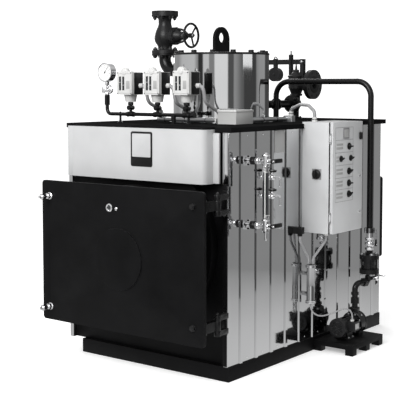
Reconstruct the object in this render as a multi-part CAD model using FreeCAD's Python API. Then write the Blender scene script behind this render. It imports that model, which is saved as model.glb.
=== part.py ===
"""Horizontal shell steam boiler in a ribbed stainless casing, with its steam dome,
fittings, control box and feed pump.

Millimetres. X runs to the boiler's right, Y to its back, Z up. The origin is on the
ground under the middle of the casing.
"""

import FreeCAD, Part
import math
import os

V = FreeCAD.Vector
RIGHT = V(1, 0, 0)
LEFT = V(-1, 0, 0)
BACK = V(0, 1, 0)
FORWARD = V(0, -1, 0)
UP = V(0, 0, 1)
DOWN = V(0, 0, -1)

# ---- casing ----
CASING_WIDTH = 1390.0
CASING_DEPTH = 2000.0
CASING_TOP = 1600.0
BASE_HEIGHT = 95.0
BASE_LEFT_INSET = 126.0
PANEL_THICKNESS = 40.0
RIB_PITCH = 175.0
RIB_WIDTH = 38.0
RIB_HEIGHT = 8.0
FIRST_RIB = 140.0
TOP_PLATE_THICKNESS = 33.0
TOP_PLATE_SIDE_LIP = 15.0
TOP_PLATE_REAR_LIP = 40.0
NOTCH_CLEARANCE = 2.0
FRONT_SHEET_RECESS = 30.0
FRONT_SHEET_THICKNESS = 20.0
FLOOR_THICKNESS = 12.0

# ---- hood and corner strips over the door ----
HOOD_INSET = 110.0
HOOD_DEPTH = 140.0
HOOD_BOTTOM = 1247.0
HOOD_SHEET = 4.0
HOOD_CORNER = 45.0
STRIP_WIDTH = 47.0
STRIP_BOTTOM = 1236.0

# ---- pressure vessel's front end ----
VESSEL_RADIUS = 590.0
VESSEL_CENTRE_Z = 840.0
END_PLATE_THICKNESS = 65.0
FURNACE_BORE = 228.0
FURNACE_WALL = 12.0
FURNACE_LENGTH = 1400.0

# ---- front door ----
DOOR_BOTTOM = 267.0
DOOR_TOP = 1220.0
DOOR_THICKNESS = 20.0
DOOR_CORNER = 25.0
DOOR_STANDOFF = 260.0
BLANK_RADIUS = 200.0
BLANK_THICKNESS = 12.0
RING_RADIUS = 470.0
RING_WALL = 15.0
RING_GAP = 30.0
PLUG_CLEARANCE = 25.0
PLUG_REACH = 170.0
HINGE_INSET = 5.0
HINGE_STANDOFF = 140.0
HINGE_HEIGHTS = (382.0, 1127.0)
HINGE_ARM_HALF = 30.0
HINGE_KNUCKLE = 34.0
HINGE_RADIUS = 22.0
HINGE_PIN_RADIUS = 11.0
PIN_CLEARANCE = 0.3
CLAMP_INSET = 75.0
CLAMP_HEIGHTS = (360.0, 1115.0)
CLAMP_BOLT_RADIUS = 10.0
CLAMP_POST_RADIUS = 20.0
CLAMP_BORE_RADIUS = 15.5
CLAMP_REACH = 100.0

# ---- steam dome and main steam valve ----
DOME_X = 0.0
DOME_Y = -141.0
DOME_RADIUS = 345.0
DOME_HEIGHT = 475.0
DOME_COVER = 15.0
EYE_WIDTH = 178.0
EYE_THICKNESS = 22.0
EYE_HEIGHT = 190.0
EYE_HOLE_RADIUS = 36.0
STEAM_PIPE_RADIUS = 44.5
STEAM_PIPE_HEIGHT = 370.0
STEAM_BEND_RADIUS = 90.0
STEAM_VALVE_REACH = 180.0
STEAM_FLANGE_RADIUS = 100.0
STEAM_FLANGE_THICKNESS = 20.0
STEAM_FLANGE_HEIGHT = 484.0
VALVE_LENGTH = 290.0
OUTLET_BORE = 40.0
BOLT_CIRCLE_RADIUS = 80.0
BOLT_HOLE_RADIUS = 9.0
BOLT_COUNT = 8
BONNET_LIFT = 103.0
BONNET_RADIUS = 58.0
HANDWHEEL_RADIUS = 95.0
HANDWHEEL_RIM = 9.0
HANDWHEEL_OFFSET = 250.0
SPINDLE_RADIUS = 10.0

# ---- safety valve ----
SAFETY_SETBACK = 135.0
SAFETY_PIPE_RADIUS = 30.0
SAFETY_PIPE_HEIGHT = 115.0
SAFETY_FLANGE_RADIUS = 70.0
SAFETY_FLANGE_THICKNESS = 18.0
SAFETY_RISER = 62.0
SAFETY_OUTLET_RISE = 153.0
SAFETY_OUTLET_RADIUS = 116.0
SAFETY_OUTLET_X = 134.0
SAFETY_OUTLET_THICKNESS = 36.0
OUTLET_PORT = 36.0
OUTLET_PORT_DEPTH = 70.0
LEVER_RISE = 333.0
LEVER_CHEEK_GAP = 5.0
LEVER_CHEEK = 8.0
LEVER_HALF_HEIGHT = 20.0
LEVER_HALF_WIDTH = 8.0
LEVER_PIVOT_X = 61.0
LEVER_END_X = -262.0
LEVER_WEIGHT_X = -196.0
LEVER_WEIGHT_RADIUS = 55.0
LEVER_WEIGHT_THICKNESS = 60.0
LEVER_WEIGHT_DROP = 100.0
PIVOT_RADIUS = 8.0

# ---- feed line ----
FEED_PIPE_RADIUS = 21.2
FEED_INLET_X = 64.0
FEED_INLET_Y = 480.0
FEED_TOP_HEIGHT = 289.0
FEED_BEND_RADIUS = 110.0
FEED_STANDOFF = 183.0
FEED_VALVE_TOP = 831.0
FEED_FLANGE_RADIUS = 70.0
FEED_NUT = 35.0
FEED_BALL_Z = 716.0
FEED_BALL_RADIUS = 34.0
FEED_STEM = 48.0
FEED_FLANGES_BOTTOM = 501.0
FEED_FLANGE_THICKNESS = 31.0
FEED_WAFER = 74.0
FEED_DRAIN_Z = 470.0
FEED_LINK_Z = 440.0
FEED_ELBOW_RADIUS = 45.0
DISCHARGE_Y = 334.0

# ---- feed pump ----
PUMP_STANDOFF = 150.0
PUMP_AXIS_Z = 163.0
MOTOR_RADIUS = 64.0
MOTOR_START_Y = 80.0
MOTOR_END_Y = 262.0
FAN_COVER_LENGTH = 42.0
PUMP_END_Y = 400.0
INLET_BORE = 21.0
INLET_BORE_DEPTH = 32.0
PLATFORM_THICKNESS = 35.0
PLATFORM_WIDTH = 310.0
PLATFORM_START_Y = 20.0
PLATFORM_END_Y = 460.0
PLATFORM_BOTTOM = 40.0
PLATFORM_FOOT = 60.0

# ---- control box and its wiring ----
BOX_START_Y = -148.0
BOX_END_Y = 272.0
BOX_HEIGHT = 755.0
BOX_RISE = 12.0
BOX_WALL = 3.0
BOX_DEPTH = 208.0
PANEL_DOOR_THICKNESS = 22.0
PANEL_DOOR_GAP = 2.0
PANEL_DOOR_CORNER = 6.0
PANEL_HINGE_RADIUS = 6.0
PANEL_PIN_RADIUS = 3.0
PANEL_BARREL = 44.0
PANEL_KNUCKLE = 12.0
PANEL_KNUCKLE_GAP = 1.0
PANEL_HINGE_INSET = 110.0
LEAF_SETBACK = 14.0
CONDUIT_STANDOFF = 50.0
CONDUIT_Y = -111.0
CONDUIT_RADIUS = 27.5
CONDUIT_BOTTOM = 363.0
CONDUIT_DROP = 228.0
COLLAR_RADIUS = 34.0
COLLAR_HEIGHT = 18.0
CABLE_RADIUS = 9.0
CABLE_BEND = 60.0
GLAND_STANDOFF = 31.0
GLAND_FORWARD = 74.0
GLAND_DROP = 2.0
GLAND_BODY = 44.0
GLAND_COLLAR = 16.0
PUMP_CABLE_RADIUS = 5.5

# ---- water level gauge and test cocks ----
GAUGE_SETBACK = 200.0
GAUGE_HEIGHTS = (979.0, 1387.0)
GAUGE_STANDOFF = 141.0
NOZZLE_RADIUS = 13.0
GAUGE_LEVER_LENGTH = 110.0
COCK_STEM = 40.0
LEVER_HUB_DEPTH = 14.0
GRIP_HEIGHT = 26.0
TEST_COCK_SETBACK = 415.0
TEST_COCK_HEIGHTS = (1143.0, 1265.0)

# ---- pressure fittings on the top ----
MANIFOLD_TO_CONDUIT = 193.0
MANIFOLD_HEIGHT = 60.0
MANIFOLD_RADIUS = 13.0
MANIFOLD_TAIL = 54.0
MANIFOLD_FOOT_OFFSET = 125.0
STAND_PIPE_HEIGHT = 132.0
PRESSURE_GAUGE_INSET = 118.0
PRESSURE_GAUGE_RISE = 293.0
PRESSURE_GAUGE_RADIUS = 67.0
PRESSURE_GAUGE_DEPTH = 45.0
SWITCH_NAMES = ("left", "middle", "right")
SWITCH_GAPS = (109.0, 120.0)
SWITCH_TO_JUNCTION = 70.0
SWITCH_WIDTH = 136.0
SWITCH_RISE = 136.0
SWITCH_HEIGHT = 162.0
SWITCH_LOBE_RADIUS = 32.0
SWITCH_CONE = 50.0
SWITCH_STEM_RADIUS = 9.0
SWITCH_COVER = 25.0
SWITCH_BODY_DEPTH = 95.0
JUNCTION_LENGTH = 153.0
JUNCTION_WIDTH = 199.0
JUNCTION_HEIGHT = 96.0
JUNCTION_LID = 14.0
JUNCTION_LIP = 3.0
JUNCTION_FORWARD = 36.0
JUNCTION_OVERLAP = 61.0
TOP_CONDUIT_RADIUS = 15.0
TOP_CONDUIT_HEIGHT = 22.0
CONDUIT_TO_DOME = 44.0
FLEX_RADIUS = 12.0
COLLECTOR_COLLAR = 21.0
TOP_ELBOW_REACH = 85.0
TOP_ELBOW_Y = 122.0
TOP_ELBOW_HEIGHT = 44.0
LOOP_END_STANDOFF = 53.0
LOOP_END_Y = -78.0

# ---- rear ----
SMOKE_BOX_INSET = 90.0
SMOKE_BOX_DEPTH = 200.0
SMOKE_BOX_BOTTOM = 500.0
SMOKE_BOX_TOP = 1140.0
FLUE_RADIUS = 125.0
FLUE_WALL = 4.0
FLUE_LENGTH = 120.0
FLUE_Z = 880.0

# ---- planes that many pieces share ----
HALF_WIDTH = CASING_WIDTH / 2
FRONT_Y = -CASING_DEPTH / 2
REAR_Y = CASING_DEPTH / 2
FLAT_X = HALF_WIDTH - RIB_HEIGHT
INNER_X = HALF_WIDTH - PANEL_THICKNESS
PANEL_TOP = CASING_TOP - TOP_PLATE_THICKNESS
HINGE_X = HALF_WIDTH - HINGE_INSET
CLAMP_X = CLAMP_INSET - HALF_WIDTH
SHEET_Y = FRONT_Y + FRONT_SHEET_RECESS
STRIP_BACK_Y = SHEET_Y + FRONT_SHEET_THICKNESS / 2
DOOR_CENTRE_Z = (DOOR_BOTTOM + DOOR_TOP) / 2
END_PLATE_Y = SHEET_Y - END_PLATE_THICKNESS
DOOR_BACK_Y = SHEET_Y - DOOR_STANDOFF
DOOR_FRONT_Y = DOOR_BACK_Y - DOOR_THICKNESS
HINGE_Y = SHEET_Y - HINGE_STANDOFF
DOME_TOP = CASING_TOP + DOME_HEIGHT + DOME_COVER
STEAM_PIPE_Z = CASING_TOP + STEAM_PIPE_HEIGHT
STEAM_FLANGE_Z = CASING_TOP + STEAM_FLANGE_HEIGHT
STEAM_VALVE_X = DOME_X - DOME_RADIUS - STEAM_VALVE_REACH
VALVE_BOTTOM = STEAM_FLANGE_Z + STEAM_FLANGE_THICKNESS
VALVE_TOP = VALVE_BOTTOM + VALVE_LENGTH
BONNET_Z = VALVE_BOTTOM + BONNET_LIFT + STEAM_FLANGE_THICKNESS
SAFETY_Y = REAR_Y - SAFETY_SETBACK
SAFETY_PIPE_Z = CASING_TOP + SAFETY_PIPE_HEIGHT
SAFETY_OUTLET_Z = SAFETY_PIPE_Z + SAFETY_OUTLET_RISE
LEVER_Z = SAFETY_PIPE_Z + LEVER_RISE
FEED_X = HALF_WIDTH + FEED_STANDOFF
FEED_TOP_Z = CASING_TOP + FEED_TOP_HEIGHT
FEED_FLANGES_TOP = FEED_FLANGES_BOTTOM + 2 * FEED_FLANGE_THICKNESS + FEED_WAFER
PUMP_X = HALF_WIDTH + PUMP_STANDOFF
PLATFORM_TOP = PLATFORM_BOTTOM + PLATFORM_THICKNESS
BOX_FACE_X = HALF_WIDTH + BOX_DEPTH
BOX_TOP = CASING_TOP + BOX_RISE
BOX_BOTTOM = BOX_TOP - BOX_HEIGHT
CONDUIT_X = HALF_WIDTH + CONDUIT_STANDOFF
CONDUIT_TOP = BOX_BOTTOM - CONDUIT_DROP
GLAND_X = HALF_WIDTH + GLAND_STANDOFF
GLAND_Y = BOX_START_Y - GLAND_FORWARD
GLAND_Z = BOX_BOTTOM - GLAND_DROP
GAUGE_X = HALF_WIDTH + GAUGE_STANDOFF
GAUGE_Y = FRONT_Y + GAUGE_SETBACK
TEST_COCK_Y = FRONT_Y + TEST_COCK_SETBACK
JUNCTION_X = DOME_X + DOME_RADIUS - JUNCTION_OVERLAP
TOP_CONDUIT_Y = DOME_Y - DOME_RADIUS - CONDUIT_TO_DOME
JUNCTION_START = V(JUNCTION_X, TOP_CONDUIT_Y - JUNCTION_FORWARD, CASING_TOP)
JUNCTION_END = JUNCTION_START + V(JUNCTION_LENGTH, JUNCTION_WIDTH, JUNCTION_HEIGHT)
SWITCH_RIGHT_X = JUNCTION_X - SWITCH_TO_JUNCTION - SWITCH_WIDTH / 2
SWITCH_MIDDLE_X = SWITCH_RIGHT_X - SWITCH_WIDTH - SWITCH_GAPS[1]
SWITCH_LEFT_X = SWITCH_MIDDLE_X - SWITCH_WIDTH - SWITCH_GAPS[0]
SWITCH_PLACES = (SWITCH_LEFT_X, SWITCH_MIDDLE_X, SWITCH_RIGHT_X)
MANIFOLD_Y = TOP_CONDUIT_Y - MANIFOLD_TO_CONDUIT
MANIFOLD_Z = CASING_TOP + MANIFOLD_HEIGHT
MANIFOLD_END_X = SWITCH_RIGHT_X + MANIFOLD_TAIL
STAND_PIPE_TOP = MANIFOLD_Z + STAND_PIPE_HEIGHT
PRESSURE_GAUGE_X = PRESSURE_GAUGE_INSET - HALF_WIDTH
PRESSURE_GAUGE_Z = MANIFOLD_Z + PRESSURE_GAUGE_RISE
SWITCH_BOTTOM = MANIFOLD_Z + SWITCH_RISE
SWITCH_TOP = SWITCH_BOTTOM + SWITCH_HEIGHT
TOP_CONDUIT_Z = CASING_TOP + TOP_CONDUIT_HEIGHT
TOP_ELBOW_X = DOME_X + DOME_RADIUS + TOP_ELBOW_REACH
TOP_ELBOW_TOP = CASING_TOP + TOP_ELBOW_HEIGHT
LOOP_END_X = HALF_WIDTH + LOOP_END_STANDOFF
PANEL_HINGE_X = BOX_FACE_X + PANEL_DOOR_GAP + PANEL_HINGE_RADIUS
PANEL_HINGE_Y = BOX_START_Y + PANEL_HINGE_RADIUS
PANEL_HINGE_HEIGHTS = (BOX_BOTTOM + PANEL_HINGE_INSET, BOX_TOP - PANEL_HINGE_INSET)
LEAF_START_Y = BOX_START_Y + LEAF_SETBACK


# ---------------------------------------------------------------- basic shapes

def block(x0, x1, y0, y1, z0, z1):
    """Box between two corners."""
    return Part.makeBox(x1 - x0, y1 - y0, z1 - z0, V(x0, y0, z0))


def rod(start, direction, length, radius):
    """Round bar from a point along a direction."""
    return Part.makeCylinder(radius, length, start, direction)


def tube(start, direction, length, outer, inner):
    """Round tube with an open bore."""
    return rod(start, direction, length, outer).cut(rod(start, direction, length, inner))


def taper(start, direction, length, first, last):
    """Cone frustum."""
    return Part.makeCone(first, last, length, start, direction)


def ball(centre, radius):
    """Sphere."""
    return Part.makeSphere(radius, centre)


def nut(start, direction, length, across_flats):
    """Hexagonal nut as a plain prism."""
    radius = across_flats / 2 / math.cos(math.pi / 6)
    side = direction.cross(UP)
    if side.Length < 0.5:
        side = RIGHT
    other = direction.cross(side)
    corners = []
    for step in range(7):
        angle = math.radians(60 * step)
        corners.append(start + side * (radius * math.cos(angle)) + other * (radius * math.sin(angle)))
    face = Part.Face(Part.makePolygon(corners))
    return face.extrude(direction * length)


def fused(*shapes):
    """One solid from shapes that touch or overlap."""
    return shapes[0].multiFuse(list(shapes[1:])).removeSplitter()


def rounded(shape, axis, radius):
    """Fillet the straight edges that run along an axis."""
    edges = []
    for edge in shape.Edges:
        straight = isinstance(edge.Curve, (Part.Line, Part.LineSegment))
        if straight and abs(edge.tangentAt(edge.FirstParameter).dot(axis)) > 0.999:
            edges.append(edge)
    return shape.makeFillet(radius, edges)


def route_wire(points, radii):
    """Straight runs joined by tangent arcs, one radius for each inner point."""
    edges = []
    last = points[0]
    for before, corner, after, radius in zip(points, points[1:], points[2:], radii):
        back = (before - corner).normalize()
        ahead = (after - corner).normalize()
        half_turn = (math.pi - back.getAngle(ahead)) / 2
        reach = radius * math.tan(half_turn)
        start = corner + back * reach
        end = corner + ahead * reach
        bisector = (back + ahead).normalize()
        middle = corner + bisector * (radius / math.cos(half_turn) - radius)
        if (start - last).Length > 0.01:
            edges.append(Part.LineSegment(last, start).toShape())
        edges.append(Part.Arc(start, middle, end).toShape())
        last = end
    edges.append(Part.LineSegment(last, points[-1]).toShape())
    return Part.Wire(edges)


def bent_pipe(points, radii, outer):
    """Solid round bar along a route of runs and arcs."""
    direction = (points[1] - points[0]).normalize()
    profile = Part.Wire([Part.makeCircle(outer, points[0], direction)])
    return route_wire(points, radii).makePipeShell([profile], True, False)


def largest_radii(points):
    """Arc radius at each inner point, as large as its two runs allow."""
    radii = []
    for before, corner, after in zip(points, points[1:], points[2:]):
        back = before - corner
        ahead = after - corner
        shorter = min(back.Length, ahead.Length)
        half_turn = (math.pi - back.getAngle(ahead)) / 2
        radii.append(0.45 * shorter / math.tan(half_turn))
    return radii


def save(name, *solids):
    """Write one node. Several solids that don't touch share a file as a compound."""
    shape = solids[0] if len(solids) == 1 else Part.makeCompound(list(solids))
    shape.exportStep("parts/" + name + ".step")


def bolt_ring(centre, axis, first_radius, count, hole_radius, length):
    """Rods on a bolt circle, for cutting holes."""
    side = axis.cross(RIGHT)
    if side.Length < 0.5:
        side = axis.cross(UP)
    other = axis.cross(side)
    rods = []
    for step in range(count):
        angle = 2 * math.pi * (step + 0.5) / count
        offset = side * (first_radius * math.cos(angle)) + other * (first_radius * math.sin(angle))
        rods.append(rod(centre + offset, axis, length, hole_radius))
    return rods


# ---------------------------------------------------------------- casing

def skid_base():
    """Black plinth, flush on the right and inset on the left, with the casing's floor on it."""
    plinth = block(-HALF_WIDTH + BASE_LEFT_INSET, HALF_WIDTH, FRONT_Y, REAR_Y, 0, BASE_HEIGHT)
    floor_top = BASE_HEIGHT + FLOOR_THICKNESS
    floor = block(-INNER_X, INNER_X, SHEET_Y + FRONT_SHEET_THICKNESS, REAR_Y - PANEL_THICKNESS,
                  BASE_HEIGHT, floor_top)
    save("skid_base", fused(plinth, floor))


def rib(y):
    """Folded rib of trapezoid section on the outside of a side panel."""
    half = RIB_WIDTH / 2
    crest = half - RIB_HEIGHT
    corners = [
        V(FLAT_X, y - half, BASE_HEIGHT),
        V(HALF_WIDTH, y - crest, BASE_HEIGHT),
        V(HALF_WIDTH, y + crest, BASE_HEIGHT),
        V(FLAT_X, y + half, BASE_HEIGHT),
        V(FLAT_X, y - half, BASE_HEIGHT),
    ]
    return Part.Face(Part.makePolygon(corners)).extrude(UP * (PANEL_TOP - BASE_HEIGHT))


def side_panel():
    """Ribbed stainless side with its bright corner strip at the front."""
    wall = block(INNER_X, FLAT_X, STRIP_BACK_Y, REAR_Y, BASE_HEIGHT, PANEL_TOP)
    front_return = block(INNER_X, FLAT_X, FRONT_Y, STRIP_BACK_Y, BASE_HEIGHT, STRIP_BOTTOM)
    strip = block(HALF_WIDTH - STRIP_WIDTH, HALF_WIDTH, FRONT_Y, STRIP_BACK_Y, STRIP_BOTTOM, PANEL_TOP)
    strip = strip.cut(block(0, INNER_X, SHEET_Y, REAR_Y, 0, CASING_TOP))
    count = int((CASING_DEPTH - FIRST_RIB - RIB_WIDTH) // RIB_PITCH) + 1
    ribs = [rib(FRONT_Y + FIRST_RIB + RIB_PITCH * step) for step in range(count)]
    return fused(wall, front_return, strip, *ribs)


def casing_panels():
    """Right, left and rear walls."""
    right = side_panel()
    save("casing_panel_right", right)
    save("casing_panel_left", right.mirror(V(0, 0, 0), RIGHT))
    rear = block(-INNER_X, INNER_X, REAR_Y - PANEL_THICKNESS, REAR_Y, BASE_HEIGHT, PANEL_TOP)
    save("casing_panel_rear", rear)


def casing_top_plate():
    """Dark top plate that overhangs the sides and the rear, notched round the control box."""
    half = HALF_WIDTH + TOP_PLATE_SIDE_LIP
    plate = block(-half, half, FRONT_Y, REAR_Y + TOP_PLATE_REAR_LIP, PANEL_TOP, CASING_TOP)
    notch = block(HALF_WIDTH, half, BOX_START_Y - NOTCH_CLEARANCE, BOX_END_Y + NOTCH_CLEARANCE,
                  PANEL_TOP, CASING_TOP)
    save("casing_top_plate", plate.cut(notch))


def casing_front_sheet():
    """Black front sheet between the side panels, with a hole for the furnace."""
    sheet = block(-INNER_X, INNER_X, SHEET_Y, SHEET_Y + FRONT_SHEET_THICKNESS, BASE_HEIGHT, PANEL_TOP)
    hole = rod(V(0, SHEET_Y, DOOR_CENTRE_Z), BACK, FRONT_SHEET_THICKNESS, FURNACE_BORE + FURNACE_WALL)
    save("casing_front_sheet", sheet.cut(hole))


def front_hood():
    """Bright sheet hood over the top of the round vessel end, open below and behind."""
    half = HALF_WIDTH - HOOD_INSET
    front = SHEET_Y - HOOD_DEPTH
    deep = 2 * HOOD_DEPTH
    outer = rounded(block(-half, half, front, front + deep, HOOD_BOTTOM, CASING_TOP), UP, HOOD_CORNER)
    inner = rounded(
        block(-half + HOOD_SHEET, half - HOOD_SHEET, front + HOOD_SHEET, front + deep + HOOD_SHEET,
              HOOD_BOTTOM - HOOD_SHEET, CASING_TOP - HOOD_SHEET),
        UP, HOOD_CORNER - HOOD_SHEET)
    behind = block(-HALF_WIDTH, HALF_WIDTH, SHEET_Y, SHEET_Y + deep, 0, CASING_TOP)
    under_plate = block(-HALF_WIDTH, HALF_WIDTH, FRONT_Y, SHEET_Y + deep, PANEL_TOP, CASING_TOP)
    save("front_hood", outer.cut(inner).cut(behind).cut(under_plate))


# ---------------------------------------------------------------- vessel front and furnace

def vessel_front():
    """Round end plate, furnace tube with a closed back, and the ring that the door lands on."""
    plate = rod(V(0, END_PLATE_Y, VESSEL_CENTRE_Z), BACK, END_PLATE_THICKNESS, VESSEL_RADIUS)
    mouth = rod(V(0, END_PLATE_Y, DOOR_CENTRE_Z), BACK, END_PLATE_THICKNESS, FURNACE_BORE)
    save("vessel_end_plate", plate.cut(mouth))

    start = V(0, SHEET_Y, DOOR_CENTRE_Z)
    outer = rod(start, BACK, FURNACE_LENGTH, FURNACE_BORE + FURNACE_WALL)
    bore = rod(start, BACK, FURNACE_LENGTH - FURNACE_WALL, FURNACE_BORE)
    save("furnace_tube", outer.cut(bore))

    ring_front = DOOR_BACK_Y + RING_GAP
    ring = tube(V(0, ring_front, DOOR_CENTRE_Z), BACK, END_PLATE_Y - ring_front,
                RING_RADIUS, RING_RADIUS - RING_WALL)
    save("door_landing_ring", ring)


# ---------------------------------------------------------------- front door

def front_door():
    """Black door plate with the round burner blank raised in its middle."""
    plate = block(-HALF_WIDTH, HALF_WIDTH, DOOR_FRONT_Y, DOOR_BACK_Y, DOOR_BOTTOM, DOOR_TOP)
    plate = rounded(plate, BACK, DOOR_CORNER)
    blank = rod(V(0, DOOR_FRONT_Y, DOOR_CENTRE_Z), FORWARD, BLANK_THICKNESS, BLANK_RADIUS)
    door = fused(plate, blank)
    for height in CLAMP_HEIGHTS:
        hole = rod(V(CLAMP_X, DOOR_FRONT_Y, height), BACK, DOOR_THICKNESS, CLAMP_BOLT_RADIUS + PIN_CLEARANCE)
        door = door.cut(hole)
    save("front_door", door)


def door_insulation():
    """Round refractory plug on the door's back, which stands inside the landing ring."""
    radius = RING_RADIUS - RING_WALL - PLUG_CLEARANCE
    save("door_insulation", rod(V(0, DOOR_BACK_Y, DOOR_CENTRE_Z), BACK, PLUG_REACH, radius))


def hinge_bracket(height):
    """Foot plate with two ears and a fixed pin."""
    foot = block(HINGE_X - 35, FLAT_X, FRONT_Y - 10, FRONT_Y, height - 80, height + 80)
    bracket = foot
    for side in (-1, 1):
        near = height + side * (HINGE_ARM_HALF + 1)
        far = near + side * HINGE_KNUCKLE
        low, high = min(near, far), max(near, far)
        ear = block(HINGE_X - 12, HINGE_X + 12, HINGE_Y, FRONT_Y - 5, low, high)
        ear = ear.cut(block(FLAT_X, HALF_WIDTH + 20, FRONT_Y - 10, FRONT_Y, low, high))
        barrel = rod(V(HINGE_X, HINGE_Y, low), UP, high - low, HINGE_RADIUS)
        bracket = fused(bracket, ear, barrel)
    reach = HINGE_ARM_HALF + HINGE_KNUCKLE
    pin = rod(V(HINGE_X, HINGE_Y, height - reach), UP, 2 * reach + 6, HINGE_PIN_RADIUS)
    cap = ball(V(HINGE_X, HINGE_Y, height + reach + 8), HINGE_PIN_RADIUS)
    return fused(bracket, pin, cap)


def hinge_arm(height):
    """Arm from the back of the door to a barrel round the pin."""
    low = height - HINGE_ARM_HALF
    tall = 2 * HINGE_ARM_HALF
    arm = block(HINGE_X - 34, HINGE_X + 2, DOOR_BACK_Y, HINGE_Y, low, low + tall)
    pad = block(HINGE_X - 90, HINGE_X, DOOR_BACK_Y, DOOR_BACK_Y + 14, low - 10, low + tall + 10)
    barrel = rod(V(HINGE_X, HINGE_Y, low), UP, tall, HINGE_RADIUS)
    bore = rod(V(HINGE_X, HINGE_Y, low), UP, tall, HINGE_PIN_RADIUS + PIN_CLEARANCE)
    return fused(arm, pad, barrel).cut(bore)


def hinges():
    """Two hinges on the right."""
    save("door_hinge_brackets", *[hinge_bracket(height) for height in HINGE_HEIGHTS])
    save("door_hinge_arms", *[hinge_arm(height) for height in HINGE_HEIGHTS])


def clamp_post(height):
    """Post on the front sheet that a door bolt reaches into."""
    front = DOOR_BACK_Y + 10
    post = rod(V(CLAMP_X, front, height), BACK, SHEET_Y - front, CLAMP_POST_RADIUS)
    bore = rod(V(CLAMP_X, front, height), BACK, 45, CLAMP_BORE_RADIUS)
    return post.cut(bore)


def clamp_bolt(height):
    """Long bolt through the door with a round nut and a hand nut."""
    start = V(CLAMP_X, DOOR_BACK_Y + 35, height)
    length = CLAMP_REACH + DOOR_THICKNESS + 35
    shank = rod(start, FORWARD, length, CLAMP_BOLT_RADIUS)
    washer = rod(V(CLAMP_X, DOOR_FRONT_Y, height), FORWARD, 6, 24)
    inner_nut = nut(V(CLAMP_X, DOOR_FRONT_Y - 6, height), FORWARD, 22, 36)
    outer_nut = rod(V(CLAMP_X, DOOR_FRONT_Y - 52, height), FORWARD, 30, 20)
    return fused(shank, washer, inner_nut, outer_nut)


def clamps():
    """Two closing bolts on the left and the posts behind them."""
    save("door_clamp_posts", *[clamp_post(height) for height in CLAMP_HEIGHTS])
    save("door_clamp_bolts", *[clamp_bolt(height) for height in CLAMP_HEIGHTS])


# ---------------------------------------------------------------- steam dome and main valve

def dome_core(length):
    """Cylinder as wide as the dome, for shaping what meets it."""
    return rod(V(DOME_X, DOME_Y, CASING_TOP), UP, length, DOME_RADIUS)


def steam_dome():
    """Clad dome with a bolted cover, and its lifting eye."""
    save("steam_dome", dome_core(DOME_HEIGHT + DOME_COVER))
    half = EYE_WIDTH / 2
    round_z = DOME_TOP + EYE_HEIGHT - half
    x0 = DOME_X - EYE_THICKNESS / 2
    plate = block(x0, x0 + EYE_THICKNESS, DOME_Y - half, DOME_Y + half, DOME_TOP, round_z)
    top = rod(V(x0, DOME_Y, round_z), RIGHT, EYE_THICKNESS, half)
    hole = rod(V(x0, DOME_Y, round_z + 12), RIGHT, EYE_THICKNESS, EYE_HOLE_RADIUS)
    save("lifting_eye", fused(plate, top).cut(hole))


def steam_outlet_elbow():
    """Elbow from the dome's left side up to a flange."""
    points = [
        V(DOME_X - DOME_RADIUS + 60, DOME_Y, STEAM_PIPE_Z),
        V(STEAM_VALVE_X, DOME_Y, STEAM_PIPE_Z),
        V(STEAM_VALVE_X, DOME_Y, STEAM_FLANGE_Z),
    ]
    pipe = bent_pipe(points, [STEAM_BEND_RADIUS], STEAM_PIPE_RADIUS)
    flange = rod(points[2], UP, STEAM_FLANGE_THICKNESS, STEAM_FLANGE_RADIUS)
    elbow = fused(pipe, flange).cut(dome_core(DOME_HEIGHT))
    save("steam_outlet_elbow", elbow)


def steam_valve():
    """Globe valve body with end flanges and a bonnet that points to the right."""
    foot = V(STEAM_VALVE_X, DOME_Y, VALVE_BOTTOM)
    middle = V(STEAM_VALVE_X - 8, DOME_Y, BONNET_Z - 8)
    lower = rod(foot, UP, STEAM_FLANGE_THICKNESS, STEAM_FLANGE_RADIUS)
    upper = rod(V(STEAM_VALVE_X, DOME_Y, VALVE_TOP - STEAM_FLANGE_THICKNESS), UP,
                STEAM_FLANGE_THICKNESS, STEAM_FLANGE_RADIUS)
    neck = rod(foot, UP, VALVE_LENGTH, 50)
    globe = ball(middle, 74)
    bonnet_axis = V(STEAM_VALVE_X, DOME_Y, BONNET_Z)
    stub = rod(bonnet_axis, RIGHT, 85, 50)
    bonnet_flange = rod(bonnet_axis + RIGHT * 85, RIGHT, 30, BONNET_RADIUS + 8)
    bonnet = taper(bonnet_axis + RIGHT * 115, RIGHT, 55, 48, 30)
    yoke = rod(bonnet_axis + RIGHT * 170, RIGHT, 42, 26)
    save("steam_valve_body", fused(neck, lower, upper, globe, stub, bonnet_flange, bonnet, yoke))

    top = V(STEAM_VALVE_X, DOME_Y, VALVE_TOP)
    counter = tube(top, UP, STEAM_FLANGE_THICKNESS, STEAM_FLANGE_RADIUS, OUTLET_BORE)
    for hole in bolt_ring(top, UP, BOLT_CIRCLE_RADIUS, BOLT_COUNT, BOLT_HOLE_RADIUS, STEAM_FLANGE_THICKNESS):
        counter = counter.cut(hole)
    save("steam_outlet_flange", counter)


def steam_valve_handwheel():
    """Three-spoke wheel on its spindle."""
    start = V(STEAM_VALVE_X + 212.5, DOME_Y, BONNET_Z)
    centre = V(STEAM_VALVE_X + HANDWHEEL_OFFSET, DOME_Y, BONNET_Z)
    rim = Part.makeTorus(HANDWHEEL_RADIUS - HANDWHEEL_RIM, HANDWHEEL_RIM, centre, RIGHT)
    hub = rod(centre - RIGHT * 14, RIGHT, 28, 18)
    spindle = rod(start, RIGHT, HANDWHEEL_OFFSET - 212.5 + 26, SPINDLE_RADIUS)
    parts = [hub, spindle]
    for step in range(3):
        angle = math.radians(50 + 120 * step)
        direction = V(0, math.cos(angle), math.sin(angle))
        parts.append(rod(centre, direction, HANDWHEEL_RADIUS - HANDWHEEL_RIM, 7))
    save("steam_valve_handwheel", fused(rim, *parts))


# ---------------------------------------------------------------- safety valve

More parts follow.
